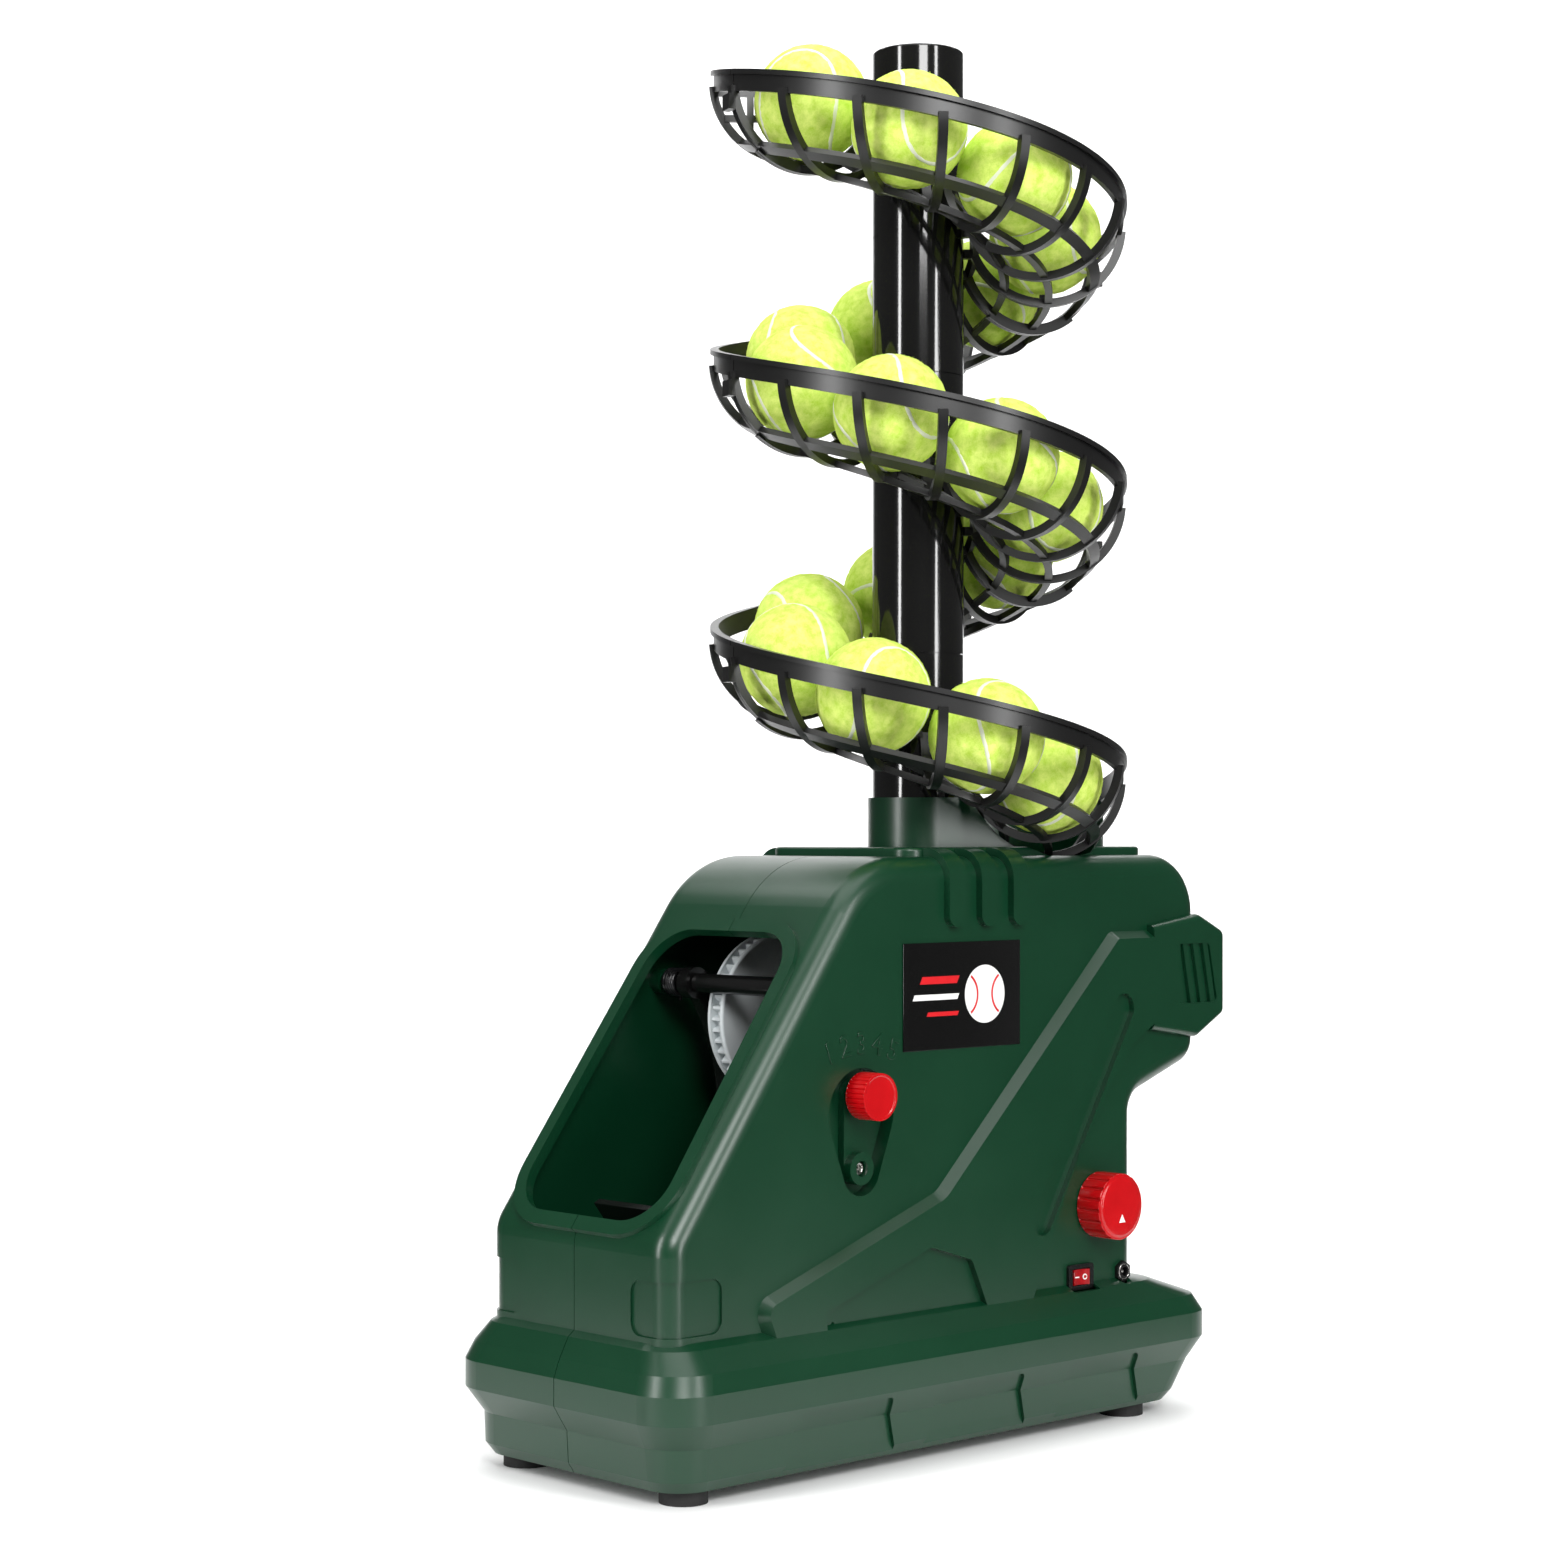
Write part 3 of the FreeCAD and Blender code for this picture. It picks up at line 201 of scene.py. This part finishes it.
# Housing, collar and battery door: dark green ABS from a lightly sparked mould, so it is semi-gloss
# with a fine even grain; long soft highlights sit on every rounded edge.
green_abs = moulded("green_moulded_abs", "#04361f", "#032f1a", 0.31, 0.7, 0.05, 60, 0.25)
for node in ("shell_left", "shell_right", "hopper_collar", "battery_door", "angle_lever"):
    dress(node, green_abs)

# Basket: black polypropylene straight from the mould, satin; its mast sleeves come from a polished
# tool, so within the mast's radius the roughness falls.
basket_plastic = moulded("black_moulded_polypropylene", "#141414", "#0b0b0b", 0.34, 0.9, 0.04, 40, 0.2)
tree = basket_plastic.node_tree
shader = tree.nodes["Principled BSDF"]
place = add_node(tree, "ShaderNodeTexCoord")
from_mast = add_node(tree, "ShaderNodeVectorMath", {"operation": "SUBTRACT", 1: (mast_x, mast_y, 0)})
tree.links.new(place.outputs["Object"], from_mast.inputs[0])
flat = add_node(tree, "ShaderNodeVectorMath", {"operation": "MULTIPLY", 1: (1, 1, 0)})
tree.links.new(from_mast.outputs["Vector"], flat.inputs[0])
reach = add_node(tree, "ShaderNodeVectorMath", {"operation": "LENGTH"}, Vector=flat.outputs["Vector"])
polish = add_node(tree, "ShaderNodeMapRange",
                  {"From Min": 0.0272, "From Max": 0.0276, "To Min": 0.10, "To Max": 0.34},
                  Value=reach.outputs["Value"])
tree.links.new(polish.outputs["Result"], shader.inputs["Roughness"])
for node in ("basket_1", "basket_2", "basket_3", "basket_4", "basket_5", "basket_top", "joint_clips"):
    dress(node, basket_plastic)

# Arm, ramp, chute, inner mast tube, bezel, inlet and bar sleeve: black ABS from a finer mould than the
# basket's, so it is a little glossier.
black_abs = moulded("black_moulded_abs", "#101010", "#080808", 0.25, 0.6, 0.03, 50, 0.2)
for node in ("launch_arm", "launch_ramp", "ball_chute", "mast_core", "switch_bezel", "bar_sleeve",
             "jack_barrel", "jack_nut"):
    dress(node, black_abs)

# Feet: black rubber pads pressed in under the bumper, matt from the open pores of their skin.
rubber = moulded("black_rubber", "#161616", "#0e0e0e", 0.75, 0.8, 0.08, 20, 0.5)
dress("rubber_feet", rubber)

# Gears: natural nylon, milky white and waxy, moulded in one piece with their teeth and cheeks.
nylon = moulded("natural_nylon", "#d5dadb", "#bfc6c8", 0.42, 1.2, 0.05, 25, 0.2)
for node in ("cam_gear", "motor_pinion"):
    dress(node, nylon)

# Knobs: red ABS from a polished mould, so the dial and the lever's knob are the glossiest plastic here.
red_abs = moulded("red_glossy_abs", "#c0060f", "#a8040b", 0.22, 1.0, 0.02, 15, 0.1)
for node in ("angle_knob", "interval_dial"):
    dress(node, red_abs)

# Screws, gear axle, knob pin and motor can: steel with bright nickel plating, finely drawn, so its
# polish changes from spot to spot.
steel, tree, shader, output = new_material("nickel_plated_steel")
shader.inputs["Metallic"].default_value = 1.0
shader.inputs["Base Color"].default_value = srgb("#c9c8c4")
DRAWN_MM, DRAWN_DEPTH_MM = 0.4, 0.02
place, grain = grain_bump(tree, shader, DRAWN_MM, DRAWN_DEPTH_MM, 0.2)
polish = add_node(tree, "ShaderNodeMapRange", {"To Min": 0.18, "To Max": 0.34}, Value=grain.outputs["Fac"])
tree.links.new(polish.outputs["Result"], shader.inputs["Roughness"])
for node in ("shell_screws", "gear_axle", "knob_pin", "gear_motor"):
    dress(node, steel)

# Shaft and spring of the arm: steel blued in oil, nearly black with a low sheen.
blued = moulded("blued_steel", "#1a1a1c", "#0f0f11", 0.28, 0.5, 0.02, 10, 0.2)
for node in ("arm_shaft", "torsion_spring"):
    dress(node, blued)

# Electrics: glass-fibre board and potentiometer, green-lacquered and out of sight inside.
board = moulded("glass_fibre_board", "#1c4a2c", "#123820", 0.5, 1.0, 0.05, 12)
for node in ("battery_pack", "control_board", "potentiometer"):
    dress(node, board)

# Label: glossy black printed film on its plate.
film = moulded("black_printed_film", "#0a0a0a", "#050505", 0.12, 1.5, 0.02, 30)
dress("label_plate", film)

# Balls: two felt halves over a rubber core, joined by one winding rubber seam.  The felt is brushed,
# so it is a soft nap with stray fibres on its outline; the seam sits a little below the nap.
felt, tree, shader, output = new_material("yellow_green_felt")
place = add_node(tree, "ShaderNodeTexCoord")
FIBRE_MM, TUFT_MM = 0.9, 5.0             # a fibre is 0.02 mm wide, drawn as clumps that show
nap = add_node(tree, "ShaderNodeTexNoise", {"Scale": 1000 / FIBRE_MM, "Detail": 4.0, "Roughness": 0.7},
               Vector=place.outputs["Object"])
tuft = add_node(tree, "ShaderNodeTexNoise", {"Scale": 1000 / TUFT_MM, "Detail": 3.0},
                Vector=place.outputs["Object"])
tone = add_node(tree, "ShaderNodeMath", {"operation": "MULTIPLY_ADD", 1: 0.55},
                Value=nap.outputs["Fac"])
tree.links.new(tuft.outputs["Fac"], tone.inputs[2])
colour = add_node(tree, "ShaderNodeValToRGB", Fac=tone.outputs["Value"])
shade, light = colour.color_ramp.elements
shade.position, light.position = 0.45, 1.0
shade.color, light.color = srgb("#b4da3e"), srgb("#e6f884")
tree.links.new(colour.outputs["Color"], shader.inputs["Base Color"])
bump = add_node(tree, "ShaderNodeBump", {"Strength": 0.7, "Distance": 0.0006}, Height=tone.outputs["Value"])
tree.links.new(bump.outputs["Normal"], shader.inputs["Normal"])
shader.inputs["Roughness"].default_value = 0.95
shader.inputs["Specular IOR Level"].default_value = 0.15
shader.inputs["Sheen Weight"].default_value = 0.35
shader.inputs["Sheen Roughness"].default_value = 0.5
shader.inputs["Sheen Tint"].default_value = srgb("#e9ff66")

seam_rubber = moulded("white_seam_rubber", "#eef2dc", "#d8dfc0", 0.6, 0.8, 0.05, 6)


def island_centres(node):
    """Middle and radius of each separate ball in a CAD node, lowest first."""
    work = bmesh.new()
    work.from_mesh(frame["nodes"][node].data)
    bmesh.ops.remove_doubles(work, verts=work.verts, dist=1e-5)
    left, found = set(work.verts), []
    while left:
        stack, island = [left.pop()], []
        while stack:
            vert = stack.pop()
            island.append(vert.co.copy())
            for edge in vert.link_edges:
                other = edge.other_vert(vert)
                if other in left:
                    left.remove(other)
                    stack.append(other)
        low = Vector([min(c[i] for c in island) for i in range(3)])
        high = Vector([max(c[i] for c in island) for i in range(3)])
        if all(((low + high) / 2 - c).length > 0.002 for c, _ in found):
            found.append(((low + high) / 2, (high - low).length / math.sqrt(12)))
    work.free()
    return sorted(found, key=lambda ball: ball[0].z)


def deselect():
    bpy.ops.object.select_all(action="DESELECT")


def finish_piece(obj, name, body, slot, *replaced):
    """Apply its place, name it, and hang it on its body."""
    deselect()
    obj.select_set(True)
    bpy.context.view_layer.objects.active = obj
    bpy.ops.object.transform_apply(location=True, rotation=True, scale=True)
    obj.name = obj.data.name = name
    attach(obj, body)
    if replaced:
        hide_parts(*replaced)
    return obj


def join(objects):
    deselect()
    for obj in objects:
        obj.select_set(True)
    bpy.context.view_layer.objects.active = objects[0]
    bpy.ops.object.join()
    return objects[0]


SEAM_WIDTH, SEAM_SINK, SEAM_ROUND, NAP = 0.0036, 0.0001, 0.0009, 0.0004
FIBRES, FIBRE_HALF = 900, 0.00007
dice = random.Random(7)


def seam_line(turn):
    """Direction from the ball's middle to its two-lobed seam."""
    return Vector((0.75 * math.cos(turn) + 0.25 * math.cos(3 * turn),
                   0.75 * math.sin(turn) - 0.25 * math.sin(3 * turn),
                   0.866 * math.sin(2 * turn))).normalized()


def ball_master(radius):
    """One felt ball with its seam and stray fibres, round the origin."""
    deselect()
    bpy.ops.mesh.primitive_ico_sphere_add(subdivisions=5, radius=radius - NAP)
    core = bpy.context.object
    for vert in core.data.vertices:
        vert.co *= 1 + dice.uniform(-0.6, 0.6) * NAP / radius
    core.data.materials.append(felt)
    core.data.materials.append(seam_rubber)
    bpy.ops.object.shade_smooth()
    # the seam: a flattened band along the two-lobed winding line
    bands, steps = 5, 120
    rows = []
    for i in range(steps):
        turn = 2 * math.pi * i / steps
        here = seam_line(turn)
        across = here.cross(seam_line(turn + 0.01) - here).normalized()
        row = []
        for k in range(bands):
            off = (k / (bands - 1) - 0.5) * 2
            lift = radius - SEAM_SINK - SEAM_ROUND * abs(off) ** 3
            row.append((here + across * off * SEAM_WIDTH / 2 / radius).normalized() * lift)
        rows.append(row)
    mesh = bpy.data.meshes.new("seam")
    verts = [tuple(p) for row in rows for p in row]
    base = len(verts)
    verts += [tuple(p * 0.96) for row in rows for p in (row[0], row[-1])]
    faces = []
    for i in range(steps):
        j = (i + 1) % steps
        for k in range(bands - 1):
            faces.append((i * bands + k, j * bands + k, j * bands + k + 1, i * bands + k + 1))
        faces.append((base + 2 * i, base + 2 * j, j * bands, i * bands))
        faces.append((i * bands + bands - 1, j * bands + bands - 1, base + 2 * j + 1, base + 2 * i + 1))
        faces.append((base + 2 * i + 1, base + 2 * j + 1, base + 2 * j, base + 2 * i))
    mesh.from_pydata(verts, [], faces)
    mesh.materials.append(felt)
    mesh.materials.append(seam_rubber)
    for face in mesh.polygons:
        face.material_index = 1
        face.use_smooth = True
    seam = bpy.data.objects.new("seam", mesh)
    bpy.context.collection.objects.link(seam)
    # stray fibres: thin two-face blades that stand off the nap
    verts, faces = [], []
    for _ in range(FIBRES):
        out = Vector((dice.gauss(0, 1), dice.gauss(0, 1), dice.gauss(0, 1))).normalized()
        side = out.orthogonal().normalized()
        side.rotate(Matrix.Rotation(dice.uniform(0, 6.28), 3, out))
        root = out * (radius - NAP)
        tip = root + out * dice.uniform(0.0004, 0.0011) + side * dice.uniform(-0.0012, 0.0012)
        wide = out.cross(side) * FIBRE_HALF
        n = len(verts)
        verts += [tuple(root - wide), tuple(root + wide), tuple(tip), tuple(root + side * FIBRE_HALF)]
        faces += [(n, n + 1, n + 2), (n + 1, n + 3, n + 2), (n + 3, n, n + 2), (n, n + 3, n + 1)]
    mesh = bpy.data.meshes.new("fibres")
    mesh.from_pydata(verts, [], faces)
    mesh.materials.append(felt)
    fibres = bpy.data.objects.new("fibres", mesh)
    bpy.context.collection.objects.link(fibres)
    return join([core, seam, fibres])


master = ball_master(island_centres("balls_upper")[0][1])
for node in ("balls_upper", "balls_middle", "balls_lower"):
    copies = []
    for centre, radius in island_centres(node):
        copy = master.copy()
        copy.data = master.data.copy()
        bpy.context.collection.objects.link(copy)
        turn = Matrix.Rotation(dice.uniform(0, 6.28), 3, "Z")
        turn = turn @ Matrix.Rotation(dice.uniform(0, 6.28), 3, "X")
        copy.matrix_world = Matrix.Translation(centre) @ turn.to_4x4()
        copies.append(copy)
    finish_piece(join(copies), "felt_" + node, "tower", "felt", node)
bpy.data.objects.remove(master)


def select_faces(obj, test):
    """Select the faces whose middle and normal pass the test, in edit mode."""
    bpy.context.view_layer.objects.active = obj
    bpy.ops.object.mode_set(mode="EDIT")
    bpy.ops.mesh.select_mode(type="FACE")
    bpy.ops.mesh.select_all(action="DESELECT")
    work = bmesh.from_edit_mesh(obj.data)
    for face in work.faces:
        if test(face.calc_center_median(), face.normal):
            face.select_set(True)
    bmesh.update_edit_mesh(obj.data)


def soften(obj, width, segments=3, angle=30, smooth=40):
    """Round the moulded edges and shade them."""
    if bpy.context.mode != "OBJECT":
        bpy.ops.object.mode_set(mode="OBJECT")
    deselect()
    obj.select_set(True)
    bpy.context.view_layer.objects.active = obj
    bevel = obj.modifiers.new("edge", "BEVEL")
    bevel.width, bevel.segments, bevel.angle_limit = width, segments, math.radians(angle)
    bevel.limit_method = "ANGLE"
    bpy.ops.object.modifier_apply(modifier="edge")
    bpy.ops.object.shade_smooth_by_angle(angle=math.radians(smooth))


def centre_of(node):
    low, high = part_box(node)
    return (Vector(low) + Vector(high)) / 2


def lathe_x(radius, depth, at, vertices=32):
    """Cylinder along X at a place, with its size applied."""
    deselect()
    bpy.ops.mesh.primitive_cylinder_add(vertices=vertices, radius=radius, depth=depth, location=at,
                                        rotation=(0, math.pi / 2, 0))
    obj = bpy.context.object
    bpy.ops.object.transform_apply(location=True, rotation=True, scale=True)
    return obj


def cross_head(radius, depth, at):
    """Pan-head screw along X with a cross recess cut in its face."""
    head = lathe_x(radius, depth, at)
    soften(head, depth * 0.35, 3)
    for turn in (0, math.pi / 2):
        deselect()
        bpy.ops.mesh.primitive_cube_add(size=1, location=(at[0] + depth / 2, at[1], at[2]),
                                        scale=(depth * 1.1, radius * 1.15, radius * 0.26),
                                        rotation=(turn + 0.4, 0, 0))
        slot = bpy.context.object
        cut = head.modifiers.new("cross", "BOOLEAN")
        cut.object, cut.operation = slot, "DIFFERENCE"
        bpy.context.view_layer.objects.active = head
        bpy.ops.object.modifier_apply(modifier="cross")
        bpy.data.objects.remove(slot)
    head.data.materials.append(steel)
    return head


# Lever screw: a steel cross-head screw down in the lever's pivot boss.
lever_axis = next(Vector(j["pos_m"]) for j in frame["joints"] if j["name"] == "lever_aim")
boss_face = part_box("angle_lever")[1][0]
screw = cross_head(0.0038, 0.0022, (boss_face - 0.0034, lever_axis.y, lever_axis.z))
finish_piece(screw, "lever_screw", "lever", "steel")

# Torsion spring: round blued wire wound five times round the arm's shaft, with a straight leg at each
# end, one resting on the arm and the other on the housing's post.
low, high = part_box("torsion_spring")
middle_point = centre_of("torsion_spring")
WIRE, LEG, TURNS, STEPS = 0.0012, 0.011, 5.25, 24
coil_radius = (high[2] - low[2]) / 2 - WIRE
path = []
for i in range(int(TURNS * STEPS) + 1):
    turn = 2 * math.pi * i / STEPS
    x = low[0] + WIRE + (high[0] - low[0] - 2 * WIRE) * i / (TURNS * STEPS)
    path.append(Vector((x, middle_point.y + coil_radius * math.cos(turn),
                        middle_point.z + coil_radius * math.sin(turn))))
path = [path[0] - Vector((0, 0, LEG))] + path + [path[-1] - Vector((0, LEG, 0))]
curve = bpy.data.curves.new("torsion_spring_wire", "CURVE")
curve.dimensions, curve.use_fill_caps = "3D", True
curve.bevel_depth, curve.bevel_resolution = WIRE, 4
line = curve.splines.new("POLY")
line.points.add(len(path) - 1)
for point, place_at in zip(line.points, path):
    point.co = (*place_at, 1)
wire = bpy.data.objects.new("wire", curve)
bpy.context.collection.objects.link(wire)
deselect()
wire.select_set(True)
bpy.context.view_layer.objects.active = wire
bpy.ops.object.convert(target="MESH")
wire = bpy.context.object
bpy.ops.object.shade_smooth()
wire.data.materials.clear()
wire.data.materials.append(blued)
finish_piece(wire, "torsion_spring_coil", "base", "steel", "torsion_spring")

# Battery pack: ten round cells in two rows in a black open tray, each with a shrunk film sleeve and
# a plated cap; they stand head to tail, so that the links between them stay short.
def block(size, at):
    """Box of a size at a place, with both applied."""
    deselect()
    bpy.ops.mesh.primitive_cube_add(size=1, location=at, scale=size)
    obj = bpy.context.object
    bpy.ops.object.transform_apply(location=True, rotation=True, scale=True)
    return obj


TRAY_WALL, CELL_GAP, CELL_COLUMNS, CELL_ROWS = 0.0015, 0.002, 5, 2
CAP_RADIUS_LESS, CAP_TALL, SLEEVE_LESS = 0.0035, 0.0016, 0.0035
low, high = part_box("battery_pack")
cell_film = moulded("cell_shrink_film", "#23262b", "#191b1f", 0.25, 0.6, 0.01, 10)
tray = block(Vector(high) - Vector(low), centre_of("battery_pack"))
select_faces(tray, lambda c, n: n.y > 0.9)
bpy.ops.mesh.inset(thickness=TRAY_WALL)
bpy.ops.transform.translate(value=(0, low[1] - high[1] + TRAY_WALL, 0))
soften(tray, 0.0004, 2)
tray.data.materials.append(black_abs)
cells = []
cell_wide = (high[0] - low[0] - 2 * CELL_GAP) / CELL_COLUMNS
cell_tall = (high[2] - low[2] - 2 * CELL_GAP) / CELL_ROWS
sleeve_and_cap = ((cell_wide / 2 - 0.0004, cell_tall - SLEEVE_LESS, 0, cell_film),
                  (cell_wide / 2 - CAP_RADIUS_LESS, CAP_TALL, (cell_tall - 0.0023) / 2, steel))
for column in range(CELL_COLUMNS):
    for row in range(CELL_ROWS):
        flip = 1 if (column + row) % 2 else -1
        at = Vector((low[0] + CELL_GAP + cell_wide * (column + 0.5), high[1] - TRAY_WALL - cell_wide / 2,
                     low[2] + CELL_GAP + cell_tall * (row + 0.5)))
        for radius, length, shift, material in sleeve_and_cap:
            deselect()
            bpy.ops.mesh.primitive_cylinder_add(vertices=40, radius=radius, depth=length,
                                                location=at + Vector((0, 0, shift * flip)))
            cell = bpy.context.object
            soften(cell, 0.0005, 2)
            cell.data.materials.append(material)
            cells.append(cell)
finish_piece(join([tray] + cells), "battery_tray_and_cells", "base", "electrics", "battery_pack")


# Interval dial: a domed red knob with a softly fluted edge, pushed on a potentiometer's stem, with a
# white arrow printed on its face.


def knob(node, grip, flutes, depth, cap_inset, dome):
    """Moulded grip along X with flutes round it and a capped face."""
    low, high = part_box(node)
    radius = (high[2] - low[2]) / 2
    middle_point = centre_of(node)
    obj = lathe_x(radius, grip, (high[0] - grip / 2, middle_point.y, middle_point.z), flutes * 3)

    def is_flute(c, n):
        angle = math.degrees(math.atan2(c.z - middle_point.z, c.y - middle_point.y)) % 360
        return abs(n.x) < 0.5 and int(angle / (120 / flutes) + 0.01) % 3 == 0

    select_faces(obj, is_flute)
    bpy.ops.mesh.inset(thickness=depth * 0.6, use_individual=True)
    bpy.ops.transform.shrink_fatten(value=-depth)
    select_faces(obj, lambda c, n: n.x > 0.9)
    bpy.ops.mesh.inset(thickness=cap_inset)
    bpy.ops.mesh.inset(thickness=cap_inset * 0.6)
    bpy.ops.transform.translate(value=(dome, 0, 0))
    bpy.ops.mesh.inset(thickness=radius * 0.3)
    bpy.ops.transform.translate(value=(dome * 0.3, 0, 0))
    soften(obj, 0.0007)
    return obj


dial = knob("interval_dial", grip=0.017, flutes=18, depth=0.0011, cap_inset=0.0016, dome=0.0009)
finish_piece(dial, "interval_dial_knob", "dial", "red_abs", "interval_dial")
dial.data.materials.append(red_abs)

CAP_RISE, ARROW_RADIUS, ARROW_TALL, ARROW_BELOW = 0.0012, 0.0032, 0.0005, 0.0075
dial_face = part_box("interval_dial")[1][0] + CAP_RISE
dial_middle = centre_of("interval_dial")
white_ink = moulded("white_printed_ink", "#f4f4f2", "#e6e6e4", 0.5, 0.3, 0.01, 5)
arrow = lathe_x(ARROW_RADIUS, ARROW_TALL, (0, 0, 0), 3)
tip = max(arrow.data.vertices, key=lambda v: v.co.yz.length).co
arrow.data.transform(Matrix.Rotation(math.pi / 2 - math.atan2(tip.z, tip.y), 4, "X"))
arrow.data.transform(Matrix.Translation((dial_face, dial_middle.y, dial_middle.z - ARROW_BELOW)))
soften(arrow, 0.0002, 2)
arrow.data.materials.append(white_ink)
finish_piece(arrow, "dial_arrow", "dial", "red_abs")

# Angle knob: a knurled red cap screwed on the lever's pin, with a narrow rolled rim round its face.
cap = knob("angle_knob", grip=0.014, flutes=30, depth=0.0006, cap_inset=0.0012, dome=-0.0005)
finish_piece(cap, "angle_knob_cap", "knob", "red_abs", "angle_knob")
cap.data.materials.append(red_abs)

# Rocker: CAD shape in clear red plastic, with the two white switch marks printed in its hollow face.
rocker_glow = moulded("clear_red_rocker_plastic", "#b01018", "#7c070d", 0.12, 0.8, 0.01, 6, 0.1, 0.5)
dress("power_rocker", rocker_glow)
pivot = next(Vector(j["pos_m"]) for j in frame["joints"] if j["name"] == "rocker_press")
TILT = Matrix.Rotation(math.radians(-7), 4, "Z")
MARK_STAND = 0.0074


def ring_x(radius, thick, at, steps, sides):
    """Round ring about X at a place, with its turn applied."""
    deselect()
    bpy.ops.mesh.primitive_torus_add(major_segments=steps, minor_segments=sides, major_radius=radius,
                                     minor_radius=thick, location=at, rotation=(0, math.pi / 2, 0))
    obj = bpy.context.object
    bpy.ops.object.transform_apply(location=True, rotation=True, scale=True)
    return obj


def on_rocker(obj, name, along):
    """Stand a printed mark on the tilted face."""
    obj.matrix_world = (Matrix.Translation(pivot) @ TILT @
                        Matrix.Translation((MARK_STAND, along, 0)) @ obj.matrix_world)
    obj.data.materials.append(white_ink)
    finish_piece(obj, name, "rocker", "red_abs")


on_rocker(ring_x(0.0014, 0.00035, (0, 0, 0), 32, 8), "rocker_ring_mark", 0.0033)
bar = block((0.0007, 0.0034, 0.0007), (0, 0, 0))
soften(bar, 0.0002, 2)
on_rocker(bar, "rocker_bar_mark", -0.0030)

# Supply inlet: the black nut and barrel are the CAD's; a plated pin stands in the barrel's middle and
# a thin plated ring lies on the nut.
PIN_RADIUS, PIN_LONG, PIN_BACK = 0.001, 0.012, 0.0075
jack = centre_of("jack_barrel")
pin = lathe_x(PIN_RADIUS, PIN_LONG, (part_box("jack_barrel")[1][0] - PIN_BACK, jack.y, jack.z), 24)
soften(pin, 0.0004, 3)
pin.data.materials.append(steel)
finish_piece(pin, "inlet_centre_pin", "base", "steel")
edge_ring = ring_x(0.0044, 0.0004, (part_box("jack_nut")[1][0], jack.y, jack.z), 48, 10)
edge_ring.data.materials.append(steel)
finish_piece(edge_ring, "inlet_washer", "base", "steel")

# Scale digits: raised lettering cut into the mould above the lever, the housing's own plastic, on an
# arc about the lever's pivot.
DIGIT_REACH, DIGIT_STEP, DIGIT_TALL, DIGIT_PROUD = 0.068, 10.5, 0.0125, 0.0004
side_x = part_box("label_plate")[0][0]
FACING_X = Matrix(((0, 0, 1, 0), (1, 0, 0, 0), (0, 1, 0, 0), (0, 0, 0, 1)))
digits = []
for n in range(1, 6):
    lean = math.radians((n - 3) * DIGIT_STEP)
    deselect()
    bpy.ops.object.text_add()
    digit = bpy.context.object
    digit.data.body, digit.data.size, digit.data.extrude = str(n), DIGIT_TALL * 1.35, DIGIT_PROUD
    digit.data.bevel_depth, digit.data.bevel_resolution = 0.0002, 2
    digit.data.align_x, digit.data.align_y = "CENTER", "CENTER"
    bpy.ops.object.convert(target="MESH")
    digit = bpy.context.object
    digit.matrix_world = (Matrix.Translation((side_x, lever_axis.y + DIGIT_REACH * math.sin(lean),
                                              lever_axis.z + DIGIT_REACH * math.cos(lean)))
                          @ Matrix.Rotation(-lean, 4, "X") @ FACING_X)
    digits.append(digit)
digits = join(digits)
digits.data.materials.clear()
digits.data.materials.append(green_abs)
finish_piece(digits, "lever_scale_digits", "base", "green_abs")

# Label: black film with softened corners, printed with a plain ball and three speed stripes.  The
# printing is a thin layer of its own on the film.
label_low, label_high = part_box("label_plate")
label_mid = centre_of("label_plate")
plate = block(Vector(label_high) - Vector(label_low), label_mid)
soften(plate, 0.0003, 2)
plate.data.materials.append(film)
finish_piece(plate, "label_film", "base", "label", "label_plate")
PRINT, INK = label_high[0] + 0.00005, 0.0002
BALL_ALONG, BALL_RADIUS, LINE_RADIUS, LINE_OFF = 0.018, 0.0165, 0.0125, 0.0185
red_ink = moulded("red_printed_ink", "#d8121c", "#c00f18", 0.45, 0.3, 0.01, 5)


def stripe(name, y0, y1, z, tall, slant, material):
    """Printed bar along Y with slanting ends."""
    obj = block((INK, y1 - y0, tall), (PRINT, (y0 + y1) / 2, z))
    for vert in obj.data.vertices:
        vert.co.y += (vert.co.z - z) * slant
    obj.data.materials.append(material)
    finish_piece(obj, name, "base", "label")


for n, (start, tall) in enumerate(((-0.034, 0.0042), (-0.040, 0.0032), (-0.029, 0.0024))):
    stripe(f"label_stripe_{n + 1}", label_mid.y + start, label_mid.y - 0.004,
           label_mid.z + 0.009 - 0.0095 * n, tall, 0.5, white_ink if n == 1 else red_ink)
printed_ball = Vector((PRINT, label_mid.y + BALL_ALONG, label_mid.z))
disc = lathe_x(BALL_RADIUS, INK, printed_ball, 64)
disc.data.materials.append(white_ink)
finish_piece(disc, "label_ball", "base", "label")
for n, side in enumerate((-1, 1)):
    arc = ring_x(LINE_RADIUS, 0.0009, printed_ball + Vector((0, side * LINE_OFF, 0)), 64, 8)
    work = bmesh.new()
    work.from_mesh(arc.data)
    outside = [v for v in work.verts if (v.co - printed_ball).yz.length > BALL_RADIUS - 0.0003]
    bmesh.ops.delete(work, geom=outside, context="VERTS")
    holes = [e for e in work.edges if len(e.link_faces) == 1]
    bmesh.ops.holes_fill(work, edges=holes)
    for vert in work.verts:
        vert.co.x = PRINT + (vert.co.x - PRINT) * 0.25
    work.to_mesh(arc.data)
    work.free()
    arc.data.materials.append(red_ink)
    finish_piece(arc, f"label_ball_line_{n + 1}", "base", "label")
